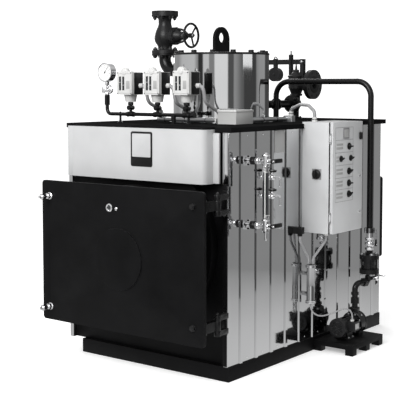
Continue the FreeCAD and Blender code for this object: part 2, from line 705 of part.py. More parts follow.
def safety_branch():
    """Pipe from the dome to a tee, with flanges and a foot on the top plate."""
    start = V(DOME_X, DOME_Y, SAFETY_PIPE_Z)
    tee = V(DOME_X, SAFETY_Y, SAFETY_PIPE_Z)
    pipe = rod(start, BACK, SAFETY_Y - DOME_Y, SAFETY_PIPE_RADIUS)
    union = rod(V(DOME_X, SAFETY_Y - 300, SAFETY_PIPE_Z), BACK, 30, 46)
    flanges = rod(V(DOME_X, SAFETY_Y - 76, SAFETY_PIPE_Z), BACK, 2 * SAFETY_FLANGE_THICKNESS,
                  SAFETY_FLANGE_RADIUS)
    body = ball(tee, 44)
    riser = rod(tee, UP, SAFETY_RISER, 34)
    foot = rod(V(DOME_X, SAFETY_Y, CASING_TOP), UP, SAFETY_PIPE_Z - CASING_TOP, 24)
    base = rod(V(DOME_X, SAFETY_Y, CASING_TOP), UP, 10, 45)
    branch = fused(pipe, union, flanges, body, riser, foot, base)
    save("safety_branch", branch.cut(dome_core(DOME_HEIGHT)))


def safety_valve_body():
    """Angle body with its outlet to the right, and the guides that carry the lever."""
    base_z = SAFETY_PIPE_Z + SAFETY_RISER
    axis = V(DOME_X, SAFETY_Y, base_z)
    neck = taper(axis, UP, 60, 34, 58)
    chest = rod(V(DOME_X, SAFETY_Y, base_z + 60), UP, 90, 62)
    shoulder = taper(V(DOME_X, SAFETY_Y, base_z + 150), UP, 40, 62, 26)
    outlet = rod(V(DOME_X, SAFETY_Y, SAFETY_OUTLET_Z), RIGHT, SAFETY_OUTLET_X, 46)
    flange = rod(V(SAFETY_OUTLET_X, SAFETY_Y, SAFETY_OUTLET_Z), RIGHT, SAFETY_OUTLET_THICKNESS,
                 SAFETY_OUTLET_RADIUS)
    lever_low = LEVER_Z - LEVER_HALF_HEIGHT
    stem_foot = V(DOME_X, SAFETY_Y, base_z + 190)
    stem = taper(stem_foot, UP, lever_low - 0.5 - stem_foot.z, 12, 5)
    shapes = [neck, chest, shoulder, outlet, flange, stem]
    for side in (-1, 1):
        near = SAFETY_Y + side * (LEVER_HALF_WIDTH + LEVER_CHEEK_GAP)
        far = near + side * LEVER_CHEEK
        low, high = min(near, far), max(near, far)
        shapes.append(block(-58, -40, low, high, base_z + 120, LEVER_Z + 50))
        shapes.append(block(LEVER_PIVOT_X - 14, LEVER_PIVOT_X + 14, low, high, base_z + 120, LEVER_Z + 22))
    reach = LEVER_HALF_WIDTH + LEVER_CHEEK_GAP + LEVER_CHEEK
    pin_y = SAFETY_Y - reach
    shapes.append(rod(V(LEVER_PIVOT_X, pin_y, LEVER_Z), BACK, 2 * reach, PIVOT_RADIUS))
    top_bar = block(-58, -40, SAFETY_Y - reach, SAFETY_Y + reach, LEVER_Z + 50, LEVER_Z + 58)
    shapes.append(top_bar)
    shapes.append(rod(V(-49, SAFETY_Y, LEVER_Z + 58), UP, 32, 5))
    face_x = SAFETY_OUTLET_X + SAFETY_OUTLET_THICKNESS
    port = rod(V(face_x, SAFETY_Y, SAFETY_OUTLET_Z), LEFT, OUTLET_PORT_DEPTH, OUTLET_PORT)
    save("safety_valve_body", fused(*shapes).cut(port))


def safety_lever():
    """Flat lever on its pivot with a round weight hung near the end."""
    lever = block(LEVER_END_X, LEVER_PIVOT_X + 20, SAFETY_Y - LEVER_HALF_WIDTH, SAFETY_Y + LEVER_HALF_WIDTH,
                  LEVER_Z - LEVER_HALF_HEIGHT, LEVER_Z + LEVER_HALF_HEIGHT)
    eye = rod(V(LEVER_PIVOT_X, SAFETY_Y - LEVER_HALF_WIDTH, LEVER_Z), BACK, 2 * LEVER_HALF_WIDTH,
              PIVOT_RADIUS + PIN_CLEARANCE)
    hanger = block(LEVER_WEIGHT_X - 14, LEVER_WEIGHT_X + 14, SAFETY_Y - 14, SAFETY_Y + 14,
                   LEVER_Z - LEVER_WEIGHT_DROP, LEVER_Z + LEVER_HALF_HEIGHT + 8)
    weight = rod(V(LEVER_WEIGHT_X, SAFETY_Y - LEVER_WEIGHT_THICKNESS / 2, LEVER_Z - LEVER_WEIGHT_DROP),
                 BACK, LEVER_WEIGHT_THICKNESS, LEVER_WEIGHT_RADIUS)
    save("safety_lever", fused(lever.cut(eye), hanger, weight))


# ---------------------------------------------------------------- feed line

def feed_pipe():
    """Pipe from the top plate, over to the right and down to the valves."""
    points = [
        V(FEED_INLET_X, FEED_INLET_Y, CASING_TOP),
        V(FEED_INLET_X, FEED_INLET_Y, FEED_TOP_Z),
        V(FEED_X, FEED_INLET_Y, FEED_TOP_Z),
        V(FEED_X, FEED_INLET_Y, FEED_VALVE_TOP),
    ]
    pipe = bent_pipe(points, [FEED_BEND_RADIUS, FEED_BEND_RADIUS], FEED_PIPE_RADIUS)
    collar = rod(points[0], UP, 12, 38)
    save("feed_pipe", fused(pipe, collar))


def feed_stop_valve():
    """Union nut and ball valve under the feed pipe, with the stub for its lever."""
    axis = V(FEED_X, FEED_INLET_Y, 0)
    union = nut(axis + UP * (FEED_VALVE_TOP - FEED_NUT), UP, FEED_NUT, 62)
    tail_z = FEED_BALL_Z + 45
    tail = rod(axis + UP * tail_z, UP, FEED_VALVE_TOP - FEED_NUT - tail_z, 20)
    body = ball(axis + UP * FEED_BALL_Z, FEED_BALL_RADIUS)
    ends = rod(axis + UP * (FEED_BALL_Z - 46), UP, 91, 26)
    stub = rod(axis + UP * FEED_FLANGES_TOP, UP, FEED_BALL_Z - 46 - FEED_FLANGES_TOP, 19)
    stem = rod(axis + UP * FEED_BALL_Z, RIGHT, FEED_STEM, 8)
    save("feed_stop_valve", fused(union, tail, body, ends, stub, stem))


def feed_valve_lever():
    """Flat lever of the ball valve, turned across the pipe at its closed end."""
    pivot = V(FEED_X + FEED_STEM + PIN_CLEARANCE, FEED_INLET_Y, FEED_BALL_Z)
    hub = rod(pivot, RIGHT, 10, 14)
    bar = block(pivot.x + 2, pivot.x + 8, FEED_INLET_Y - 9, FEED_INLET_Y + 9,
                FEED_BALL_Z, FEED_BALL_Z + 105)
    save("feed_valve_lever", fused(hub, bar))


def feed_check_valve():
    """Wafer check valve between two flanges with four long bolts."""
    axis = V(FEED_X, FEED_INLET_Y, 0)
    upper_z = FEED_FLANGES_TOP - FEED_FLANGE_THICKNESS
    upper = rod(axis + UP * upper_z, UP, FEED_FLANGE_THICKNESS, FEED_FLANGE_RADIUS)
    lower = rod(axis + UP * FEED_FLANGES_BOTTOM, UP, FEED_FLANGE_THICKNESS, FEED_FLANGE_RADIUS)
    wafer = rod(axis + UP * (FEED_FLANGES_BOTTOM + FEED_FLANGE_THICKNESS), UP, FEED_WAFER, 42)
    shapes = [upper, lower, wafer]
    stud_end = 11
    studs = FEED_FLANGES_TOP - FEED_FLANGES_BOTTOM + 2 * stud_end
    for bolt in bolt_ring(axis + UP * (FEED_FLANGES_BOTTOM - stud_end), UP, 54, 4, 7, studs):
        shapes.append(bolt)
    save("feed_check_valve", fused(*shapes))


def feed_lower_pipe():
    """Tee with a drain cock, link to the front and drop to the pump's outlet."""
    top = V(FEED_X, FEED_INLET_Y, FEED_FLANGES_BOTTOM)
    points = [
        top,
        V(FEED_X, FEED_INLET_Y, FEED_LINK_Z),
        V(PUMP_X, DISCHARGE_Y, FEED_LINK_Z),
        V(PUMP_X, DISCHARGE_Y, PUMP_AXIS_Z + 95),
    ]
    pipe = bent_pipe(points, [FEED_ELBOW_RADIUS, FEED_ELBOW_RADIUS], FEED_PIPE_RADIUS)
    union = nut(V(PUMP_X, DISCHARGE_Y, 300), UP, 40, 58)
    link = points[1] - points[2]
    link_union = nut(points[2] + link * 0.55, (points[1] - points[2]).normalize(), 38, 56)
    drain_start = V(FEED_X, FEED_INLET_Y, FEED_DRAIN_Z)
    drain = rod(drain_start, RIGHT, 70, 10)
    cock = ball(drain_start + RIGHT * 60, 17)
    spout = rod(drain_start + RIGHT * 60, DOWN, 45, 8)
    handle = block(FEED_X + 52, FEED_X + 130, FEED_INLET_Y - 6, FEED_INLET_Y + 6,
                   FEED_DRAIN_Z + 20, FEED_DRAIN_Z + 26)
    stem = rod(drain_start + RIGHT * 60, UP, 24, 6)
    save("feed_lower_pipe", fused(pipe, union, link_union, drain, cock, spout, handle, stem))


# ---------------------------------------------------------------- feed pump

def pump_platform():
    """Black shelf on the side of the skid that carries the pump."""
    x1 = HALF_WIDTH + PLATFORM_WIDTH
    shelf = block(HALF_WIDTH, x1, PLATFORM_START_Y, PLATFORM_END_Y, PLATFORM_BOTTOM, PLATFORM_TOP)
    shapes = [shelf]
    middle = (PLATFORM_START_Y + PLATFORM_END_Y - PLATFORM_FOOT) / 2
    for y in (PLATFORM_START_Y, middle, PLATFORM_END_Y - PLATFORM_FOOT):
        for x in (HALF_WIDTH, x1 - PLATFORM_FOOT):
            shapes.append(block(x, x + PLATFORM_FOOT, y, y + PLATFORM_FOOT, 0, PLATFORM_BOTTOM))
    save("pump_platform", fused(*shapes))


def pump_motor():
    """Motor with its feet and fan cover, shaft line along Y."""
    axis = V(PUMP_X, MOTOR_START_Y, PUMP_AXIS_Z)
    cover = rod(axis, BACK, FAN_COVER_LENGTH, MOTOR_RADIUS + 4)
    barrel = rod(axis, BACK, MOTOR_END_Y - MOTOR_START_Y, MOTOR_RADIUS)
    feet = block(PUMP_X - 60, PUMP_X + 60, 150, 230, PLATFORM_TOP, PLATFORM_TOP + 10)
    web = block(PUMP_X - 38, PUMP_X + 38, 155, 225, PLATFORM_TOP, PUMP_AXIS_Z)
    save("pump_motor", fused(barrel, cover, feet, web))


def pump_casing():
    """Round pump casing with its outlet neck on top and inlet at the back."""
    start = V(PUMP_X, MOTOR_END_Y, PUMP_AXIS_Z)
    lantern = rod(start, BACK, 30, 52)
    volute = rod(V(PUMP_X, MOTOR_END_Y + 30, PUMP_AXIS_Z), BACK, 82, 78)
    cover = taper(V(PUMP_X, MOTOR_END_Y + 112, PUMP_AXIS_Z), BACK, PUMP_END_Y - MOTOR_END_Y - 112, 60, 40)
    neck = rod(V(PUMP_X, DISCHARGE_Y, PUMP_AXIS_Z), UP, 95, 28)
    foot = block(PUMP_X - 50, PUMP_X + 50, MOTOR_END_Y + 40, MOTOR_END_Y + 100,
                 PLATFORM_TOP, PUMP_AXIS_Z - 40)
    inlet = rod(V(PUMP_X, PUMP_END_Y, PUMP_AXIS_Z), BACK, 22, 46)
    port = rod(V(PUMP_X, PUMP_END_Y + 22 - INLET_BORE_DEPTH, PUMP_AXIS_Z), BACK, INLET_BORE_DEPTH, INLET_BORE)
    casing = fused(lantern, volute, cover, neck, foot, inlet)
    save("pump_casing", casing.cut(port))


def motor_terminal_box():
    """Terminal box on the motor's right side with its cable gland on top."""
    barrel = rod(V(PUMP_X, MOTOR_START_Y, PUMP_AXIS_Z), BACK, MOTOR_END_Y - MOTOR_START_Y, MOTOR_RADIUS)
    box = rounded(block(PUMP_X + 40, PUMP_X + 115, 124, 200, 148, 214), UP, 8)
    gland = rod(V(PUMP_X + 85, 146, 214), UP, 16, 11)
    save("motor_terminal_box", fused(box, gland).cut(barrel))


# ---------------------------------------------------------------- control box and wiring

def control_box():
    """Steel box on the right side, open towards its door."""
    outer = block(HALF_WIDTH, BOX_FACE_X, BOX_START_Y, BOX_END_Y, BOX_BOTTOM, BOX_TOP)
    inner = block(HALF_WIDTH + BOX_WALL, BOX_FACE_X + BOX_WALL, BOX_START_Y + BOX_WALL, BOX_END_Y - BOX_WALL,
                  BOX_BOTTOM + BOX_WALL, BOX_TOP - BOX_WALL)
    save("control_box", outer.cut(inner))


def panel_door():
    """Box door on the right face with the hinge barrels on its front edge."""
    x0 = BOX_FACE_X + PANEL_DOOR_GAP
    leaf = block(x0, x0 + PANEL_DOOR_THICKNESS, LEAF_START_Y, BOX_END_Y, BOX_BOTTOM, BOX_TOP)
    shapes = [rounded(leaf, RIGHT, PANEL_DOOR_CORNER)]
    bores = []
    for height in PANEL_HINGE_HEIGHTS:
        low = V(PANEL_HINGE_X, PANEL_HINGE_Y, height - PANEL_BARREL / 2)
        shapes.append(rod(low, UP, PANEL_BARREL, PANEL_HINGE_RADIUS))
        shapes.append(block(PANEL_HINGE_X - 4, PANEL_HINGE_X + 4, PANEL_HINGE_Y, LEAF_START_Y,
                            low.z, low.z + PANEL_BARREL))
        bores.append(rod(low, UP, PANEL_BARREL, PANEL_PIN_RADIUS + PIN_CLEARANCE))
    door = fused(*shapes)
    for bore in bores:
        door = door.cut(bore)
    save("panel_door", door)


def panel_hinge(height):
    """Fixed pin between two knuckles that stand on the box's open edge."""
    reach = PANEL_BARREL / 2 + PANEL_KNUCKLE_GAP + PANEL_KNUCKLE
    shapes = [rod(V(PANEL_HINGE_X, PANEL_HINGE_Y, height - reach), UP, 2 * reach, PANEL_PIN_RADIUS)]
    for low in (height - reach, height + reach - PANEL_KNUCKLE):
        shapes.append(rod(V(PANEL_HINGE_X, PANEL_HINGE_Y, low), UP, PANEL_KNUCKLE, PANEL_HINGE_RADIUS))
        shapes.append(block(BOX_FACE_X, PANEL_HINGE_X, PANEL_HINGE_Y - 5, PANEL_HINGE_Y + 5,
                            low, low + PANEL_KNUCKLE))
    return fused(*shapes)


def cable_conduit():
    """Stainless conduit on the side with a collar at each end and clips to the casing."""
    axis = V(CONDUIT_X, CONDUIT_Y, CONDUIT_BOTTOM)
    pipe = rod(axis, UP, CONDUIT_TOP - CONDUIT_BOTTOM, CONDUIT_RADIUS)
    lower = rod(axis, UP, COLLAR_HEIGHT, COLLAR_RADIUS)
    upper = rod(V(CONDUIT_X, CONDUIT_Y, CONDUIT_TOP - COLLAR_HEIGHT), UP, COLLAR_HEIGHT, COLLAR_RADIUS)
    shapes = [pipe, lower, upper]
    for z in (CONDUIT_BOTTOM + 50, CONDUIT_TOP - 75):
        shapes.append(block(FLAT_X, CONDUIT_X, CONDUIT_Y - 12, CONDUIT_Y + 12, z, z + 25))
    save("cable_conduit", fused(*shapes))


def control_cables():
    """Two cables from the conduit's top: one to the box, one to a gland on the casing."""
    top = V(CONDUIT_X, CONDUIT_Y, CONDUIT_TOP)
    box_entry = V(CONDUIT_X + 72, CONDUIT_Y + 80, BOX_BOTTOM)
    to_box = [
        top + V(12, 8, 0),
        top + V(12, 8, 45),
        box_entry + DOWN * 60,
        box_entry,
    ]
    to_gland = [
        top + V(-12, -8, 0),
        top + V(-12, -8, 45),
        V(GLAND_X, GLAND_Y, GLAND_Z) + DOWN * 50,
        V(GLAND_X, GLAND_Y, GLAND_Z),
    ]
    first = bent_pipe(to_box, [CABLE_BEND, CABLE_BEND], CABLE_RADIUS)
    second = bent_pipe(to_gland, [CABLE_BEND, CABLE_BEND], CABLE_RADIUS)
    save("control_cables", first, second)


def casing_gland():
    """Black elbow gland on the side beside the control box, bored for its cable."""
    half = GLAND_BODY / 2
    body = block(FLAT_X, GLAND_X + half, GLAND_Y - half, GLAND_Y + half, GLAND_Z, GLAND_Z + GLAND_BODY)
    collar = tube(V(GLAND_X, GLAND_Y, GLAND_Z), DOWN, GLAND_COLLAR, GLAND_COLLAR, CABLE_RADIUS)
    save("casing_gland", fused(body, collar))


def pump_cable_route():
    """Points from the conduit's foot, down in a sag and over the motor to its gland."""
    stations = [
        (0.0, 0.0, 363.0), (0.0, 0.0, 333.0), (16.0, 1.5, 298.6), (49.2, 5.0, 272.7),
        (92.2, 8.0, 263.6), (141.4, 8.0, 272.3), (197.1, 5.0, 288.9), (248.4, 2.0, 307.7),
        (278.1, 1.0, 303.8), (302.7, 0.0, 287.2), (316.6, 0.0, 261.0), (316.6, 0.0, 230.0),
    ]
    start = V(CONDUIT_X, CONDUIT_Y, 0)
    along = V(185.0, 257.0, 0).normalize()
    across = V(-along.y, along.x, 0)
    return [start + along * ahead + across * aside + UP * z for ahead, aside, z in stations]


def pump_cable():
    """The pump's cable, which hangs free between the conduit and the terminal box."""
    points = pump_cable_route()
    radii = largest_radii(points)
    print("pump cable radii:", [round(radius) for radius in radii])
    for point in points:
        print("pump cable point:", round(point.x, 1), round(point.y, 1), round(point.z, 1))
    cable = bent_pipe(points, radii, PUMP_CABLE_RADIUS)
    length = route_wire(points, radii).Length
    section = math.pi * PUMP_CABLE_RADIUS ** 2
    print("pump cable length", round(length), "volume ratio", round(cable.Volume / (length * section), 4))
    save("pump_cable", cable)


# ---------------------------------------------------------------- level gauge and test cocks

def gauge_cock(height):
    """Flanged nozzle, union and cock body at one end of the glass."""
    start = V(FLAT_X, GAUGE_Y, height)
    pad = rod(start, RIGHT, 14, 34)
    nozzle = rod(start, RIGHT, GAUGE_X - FLAT_X, NOZZLE_RADIUS)
    union = nut(start + RIGHT * 40, RIGHT, 26, 44)
    gland = rod(start + RIGHT * 74, RIGHT, 30, 20)
    body = rod(V(GAUGE_X, GAUGE_Y, height - 42), UP, 84, 22)
    stem = rod(V(GAUGE_X + 10, GAUGE_Y, height), RIGHT, COCK_STEM - 10, 12)
    return fused(pad, nozzle, union, gland, body, stem)


def level_gauge():
    """Two cocks with the glass and its guards between them, and the drain below."""
    save("level_gauge_cocks", *[gauge_cock(height) for height in GAUGE_HEIGHTS])
    low, high = GAUGE_HEIGHTS
    bottom = V(GAUGE_X, GAUGE_Y, low + 42)
    glass = rod(bottom, UP, high - low - 84, 9)
    shapes = [glass]
    for end in (low + 42, high - 42 - 26):
        shapes.append(rod(V(GAUGE_X, GAUGE_Y, end), UP, 26, 17))
    for side in (-1, 1):
        shapes.append(block(GAUGE_X - 15, GAUGE_X - 11, GAUGE_Y + side * 12 - 3, GAUGE_Y + side * 12 + 3,
                            low + 52, high - 52))
    save("level_gauge_column", fused(*shapes))


def gauge_lever(name, height):
    """Cock lever on its stem's end, with a flat black grip that points to the back."""
    start = V(GAUGE_X + COCK_STEM + PIN_CLEARANCE, GAUGE_Y, height)
    hub = rod(start, RIGHT, LEVER_HUB_DEPTH, 14)
    half = GRIP_HEIGHT / 2
    grip = block(start.x + 3, start.x + LEVER_HUB_DEPTH - 3, GAUGE_Y, GAUGE_Y + GAUGE_LEVER_LENGTH,
                 height - half, height + half)
    save(name, fused(hub, rounded(grip, RIGHT, 5)))


def test_cocks():
    """Two sampling cocks with round knobs and bent spouts."""
    cocks = []
    for height in TEST_COCK_HEIGHTS:
        start = V(FLAT_X, TEST_COCK_Y, height)
        stem = rod(start, RIGHT, 62, 10)
        body = ball(start + RIGHT * 56, 19)
        knob_stem = rod(start + RIGHT * 56, UP, 44, 6)
        knob = rod(start + RIGHT * 56 + UP * 34, UP, 16, 22)
        spout_points = [start + RIGHT * 56, start + RIGHT * 56 + BACK * 90, start + RIGHT * 56 + BACK * 90 + DOWN * 70]
        spout = bent_pipe(spout_points, [22], 7)
        cocks.append(fused(stem, body, knob_stem, knob, spout))
    save("test_cocks", *cocks)


# ---------------------------------------------------------------- pressure fittings on the top

def pressure_manifold():
    """Black header along the front with feet, and the stand pipe of the gauge at its left."""
    points = [
        V(PRESSURE_GAUGE_X, MANIFOLD_Y, STAND_PIPE_TOP),
        V(PRESSURE_GAUGE_X, MANIFOLD_Y, MANIFOLD_Z),
        V(MANIFOLD_END_X, MANIFOLD_Y, MANIFOLD_Z),
    ]
    pipe = bent_pipe(points, [36], MANIFOLD_RADIUS)
    sleeve = nut(V(PRESSURE_GAUGE_X, MANIFOLD_Y, STAND_PIPE_TOP - 70), UP, 70, 34)
    cap = nut(V(MANIFOLD_END_X - 10, MANIFOLD_Y, MANIFOLD_Z), RIGHT, 24, 34)
    shapes = [pipe, sleeve, cap]
    for x in (PRESSURE_GAUGE_X + MANIFOLD_FOOT_OFFSET, MANIFOLD_END_X - 40):
        shapes.append(rod(V(x, MANIFOLD_Y, CASING_TOP), UP, MANIFOLD_Z - CASING_TOP, 8))
        shapes.append(rod(V(x, MANIFOLD_Y, CASING_TOP), UP, 6, 18))
    shapes.append(rod(V((SWITCH_MIDDLE_X + SWITCH_RIGHT_X) / 2 + 12, MANIFOLD_Y, CASING_TOP), UP, MANIFOLD_Z - CASING_TOP, 17))
    save("pressure_manifold", fused(*shapes))


def pressure_gauge():
    """Round gauge on a loop siphon with a chrome cock."""
    foot = V(PRESSURE_GAUGE_X, MANIFOLD_Y, STAND_PIPE_TOP)
    stem = rod(foot, UP, 98, 8)
    hex_nut = nut(foot + UP * 70, UP, 22, 26)
    cock = rod(foot + V(-38, 0, 30), RIGHT, 62, 13)
    loop_centre = foot + V(26, 0, 40)
    loop = Part.makeTorus(24, 6.5, loop_centre, BACK)
    case = rod(V(PRESSURE_GAUGE_X, MANIFOLD_Y - PRESSURE_GAUGE_DEPTH / 2, PRESSURE_GAUGE_Z), BACK,
               PRESSURE_GAUGE_DEPTH, PRESSURE_GAUGE_RADIUS)
    save("pressure_gauge", fused(stem, hex_nut, cock, loop, case))


def pressure_switch(name, x):
    """Light front cover with a lobe on top, dark housing, bellows cone and stem."""
    half = SWITCH_WIDTH / 2
    front = MANIFOLD_Y - 67
    cover = rounded(block(x - half, x + half, front, front + SWITCH_COVER, SWITCH_BOTTOM, SWITCH_TOP), BACK, 10)
    lobe = rod(V(x, front, SWITCH_TOP - 6), BACK, SWITCH_COVER, SWITCH_LOBE_RADIUS)
    housing = block(x - half + 4, x + half, front + SWITCH_COVER, front + SWITCH_COVER + SWITCH_BODY_DEPTH,
                    SWITCH_BOTTOM, SWITCH_TOP - 8)
    cone = taper(V(x, MANIFOLD_Y, SWITCH_BOTTOM - SWITCH_CONE), UP, SWITCH_CONE, 36, 46)
    stem = rod(V(x, MANIFOLD_Y, MANIFOLD_Z + 9), UP, SWITCH_RISE - SWITCH_CONE - 9, SWITCH_STEM_RADIUS)
    knob = rod(V(x, MANIFOLD_Y - 24, MANIFOLD_Z + 45), BACK, 48, 15)
    header = rod(V(x - 40, MANIFOLD_Y, MANIFOLD_Z), RIGHT, 80, MANIFOLD_RADIUS)
    save(name, fused(cover, lobe, housing, cone, stem, knob).cut(header))


def switch_conduit(x):
    """Flexible conduit from a switch's right side down to the collecting conduit."""
    start = V(x + SWITCH_WIDTH / 2, MANIFOLD_Y + 20, SWITCH_BOTTOM + 62)
    points = [
        start,
        start + RIGHT * 50,
        V(start.x + 56, start.y + 22, TOP_CONDUIT_Z + 123),
        V(start.x + 54, TOP_CONDUIT_Y, TOP_CONDUIT_Z + 58),
        V(start.x + 54, TOP_CONDUIT_Y, TOP_CONDUIT_Z + TOP_CONDUIT_RADIUS),
    ]
    return bent_pipe(points, [38, 60, 32], FLEX_RADIUS)


def flexible_conduits():
    """Conduits from the three switches, and the loop over to the control box."""
    header = rod(V(-HALF_WIDTH, TOP_CONDUIT_Y, TOP_CONDUIT_Z), RIGHT, CASING_WIDTH, COLLECTOR_COLLAR)
    drops = [switch_conduit(x).cut(header) for x in SWITCH_PLACES]
    loop_start = V(TOP_ELBOW_X, TOP_ELBOW_Y, TOP_ELBOW_TOP)
    loop_end = V(LOOP_END_X, LOOP_END_Y, BOX_TOP)
    loop_points = [
        loop_start,
        loop_start + UP * 46,
        loop_start + V(125, -80, 82),
        loop_end + V(-75, 40, 112),
        loop_end + UP * 70,
        loop_end,
    ]
    loop = bent_pipe(loop_points, [40, 120, 80, 40], FLEX_RADIUS)
    save("flexible_conduits", *drops, loop)


def junction_box():
    """Light box on the top plate where the conduits meet."""
    low, high = JUNCTION_START, JUNCTION_END
    lid_z = high.z - JUNCTION_LID
    body = block(low.x, high.x, low.y, high.y, low.z, lid_z)
    lid = block(low.x - JUNCTION_LIP, high.x + JUNCTION_LIP, low.y - JUNCTION_LIP, high.y + JUNCTION_LIP,
                lid_z, high.z)
    save("junction_box", fused(body, lid))


def top_conduits():
    """Rigid conduits on the top plate with their end fittings."""
    start_x = SWITCH_PLACES[0] + SWITCH_WIDTH / 2 + 20
    header = rod(V(start_x, TOP_CONDUIT_Y, TOP_CONDUIT_Z), RIGHT, JUNCTION_START.x - start_x, TOP_CONDUIT_RADIUS)
    collar = rod(V(JUNCTION_START.x - 34, TOP_CONDUIT_Y, TOP_CONDUIT_Z), RIGHT, 34, COLLECTOR_COLLAR)
    end_y = TOP_ELBOW_Y - 24
    pipe_start = V(TOP_ELBOW_X - 30, JUNCTION_END.y, TOP_CONDUIT_Z)
    pipe = rod(pipe_start, BACK, end_y - JUNCTION_END.y, TOP_CONDUIT_RADIUS)
    sleeve = rod(pipe_start, BACK, 36, COLLECTOR_COLLAR)
    elbow = rounded(block(TOP_ELBOW_X - 54, TOP_ELBOW_X + 22, end_y, end_y + 48, CASING_TOP, TOP_ELBOW_TOP), UP, 8)
    save("top_conduits", fused(header, collar), fused(pipe, sleeve, elbow))


# ---------------------------------------------------------------- rear

def rear_end():
    """Black smoke box behind the casing with its flue spigot."""
    half = HALF_WIDTH - SMOKE_BOX_INSET
    back = REAR_Y + SMOKE_BOX_DEPTH
    box = rounded(block(-half, half, REAR_Y, back, SMOKE_BOX_BOTTOM, SMOKE_BOX_TOP), BACK, 20)
    save("rear_smoke_box", box)
    spigot = tube(V(0, back, FLUE_Z), BACK, FLUE_LENGTH, FLUE_RADIUS, FLUE_RADIUS - FLUE_WALL)
    save("flue_spigot", spigot)


def build():
    """Write every node."""
    os.makedirs("parts", exist_ok=True)
    skid_base()
    casing_panels()
    casing_top_plate()
    casing_front_sheet()
    front_hood()
    vessel_front()
    front_door()
    door_insulation()
    hinges()
    clamps()
    steam_dome()
    steam_outlet_elbow()
    steam_valve()
    steam_valve_handwheel()
    safety_branch()
    safety_valve_body()
    safety_lever()
    feed_pipe()
    feed_stop_valve()
    feed_valve_lever()
    feed_check_valve()
    feed_lower_pipe()
    pump_platform()
    pump_motor()
    pump_casing()
    motor_terminal_box()
    control_box()
    panel_door()
    save("panel_hinges", *[panel_hinge(height) for height in PANEL_HINGE_HEIGHTS])
    cable_conduit()
    control_cables()
    casing_gland()
    pump_cable()
    level_gauge()
    gauge_lever("gauge_lever_lower", GAUGE_HEIGHTS[0])
    gauge_lever("gauge_lever_upper", GAUGE_HEIGHTS[1])
    test_cocks()
    pressure_manifold()
    pressure_gauge()
    for name, x in zip(SWITCH_NAMES, SWITCH_PLACES):
        pressure_switch("pressure_switch_" + name, x)
    flexible_conduits()
    junction_box()
    top_conduits()
    rear_end()


build()
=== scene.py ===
import logging
import math
from dataclasses import dataclass
from enum import Enum
from typing import Iterable, Sequence

import bmesh
import bpy
from mathutils import Matrix, Vector


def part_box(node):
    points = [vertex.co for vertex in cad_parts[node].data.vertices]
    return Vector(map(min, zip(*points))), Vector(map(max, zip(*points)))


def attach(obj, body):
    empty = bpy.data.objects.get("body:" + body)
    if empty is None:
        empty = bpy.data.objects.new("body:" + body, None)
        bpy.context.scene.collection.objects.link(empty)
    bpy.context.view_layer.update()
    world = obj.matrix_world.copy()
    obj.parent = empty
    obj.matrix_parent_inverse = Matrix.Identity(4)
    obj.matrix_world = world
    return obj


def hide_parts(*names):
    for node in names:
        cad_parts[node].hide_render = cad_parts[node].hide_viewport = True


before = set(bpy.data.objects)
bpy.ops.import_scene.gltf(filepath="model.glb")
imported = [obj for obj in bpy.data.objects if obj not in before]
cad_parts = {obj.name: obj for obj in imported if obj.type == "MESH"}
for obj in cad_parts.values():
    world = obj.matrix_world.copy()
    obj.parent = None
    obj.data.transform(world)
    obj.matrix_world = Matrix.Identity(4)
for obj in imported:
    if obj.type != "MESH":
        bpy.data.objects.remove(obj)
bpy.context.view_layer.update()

logging.basicConfig(level=logging.INFO, format="%(message)s")
log = logging.getLogger("boiler")

Point = tuple[float, float, float]
Outline = tuple[tuple[float, float], ...]
Colour = tuple[float, float, float]

RIGHT = Vector((1, 0, 0))
LEFT = Vector((-1, 0, 0))
BACK = Vector((0, 1, 0))
FRONT = Vector((0, -1, 0))
UP = Vector((0, 0, 1))
DOWN = Vector((0, 0, -1))
SMOOTH_ANGLE = math.radians(35)


# ---------- node trees

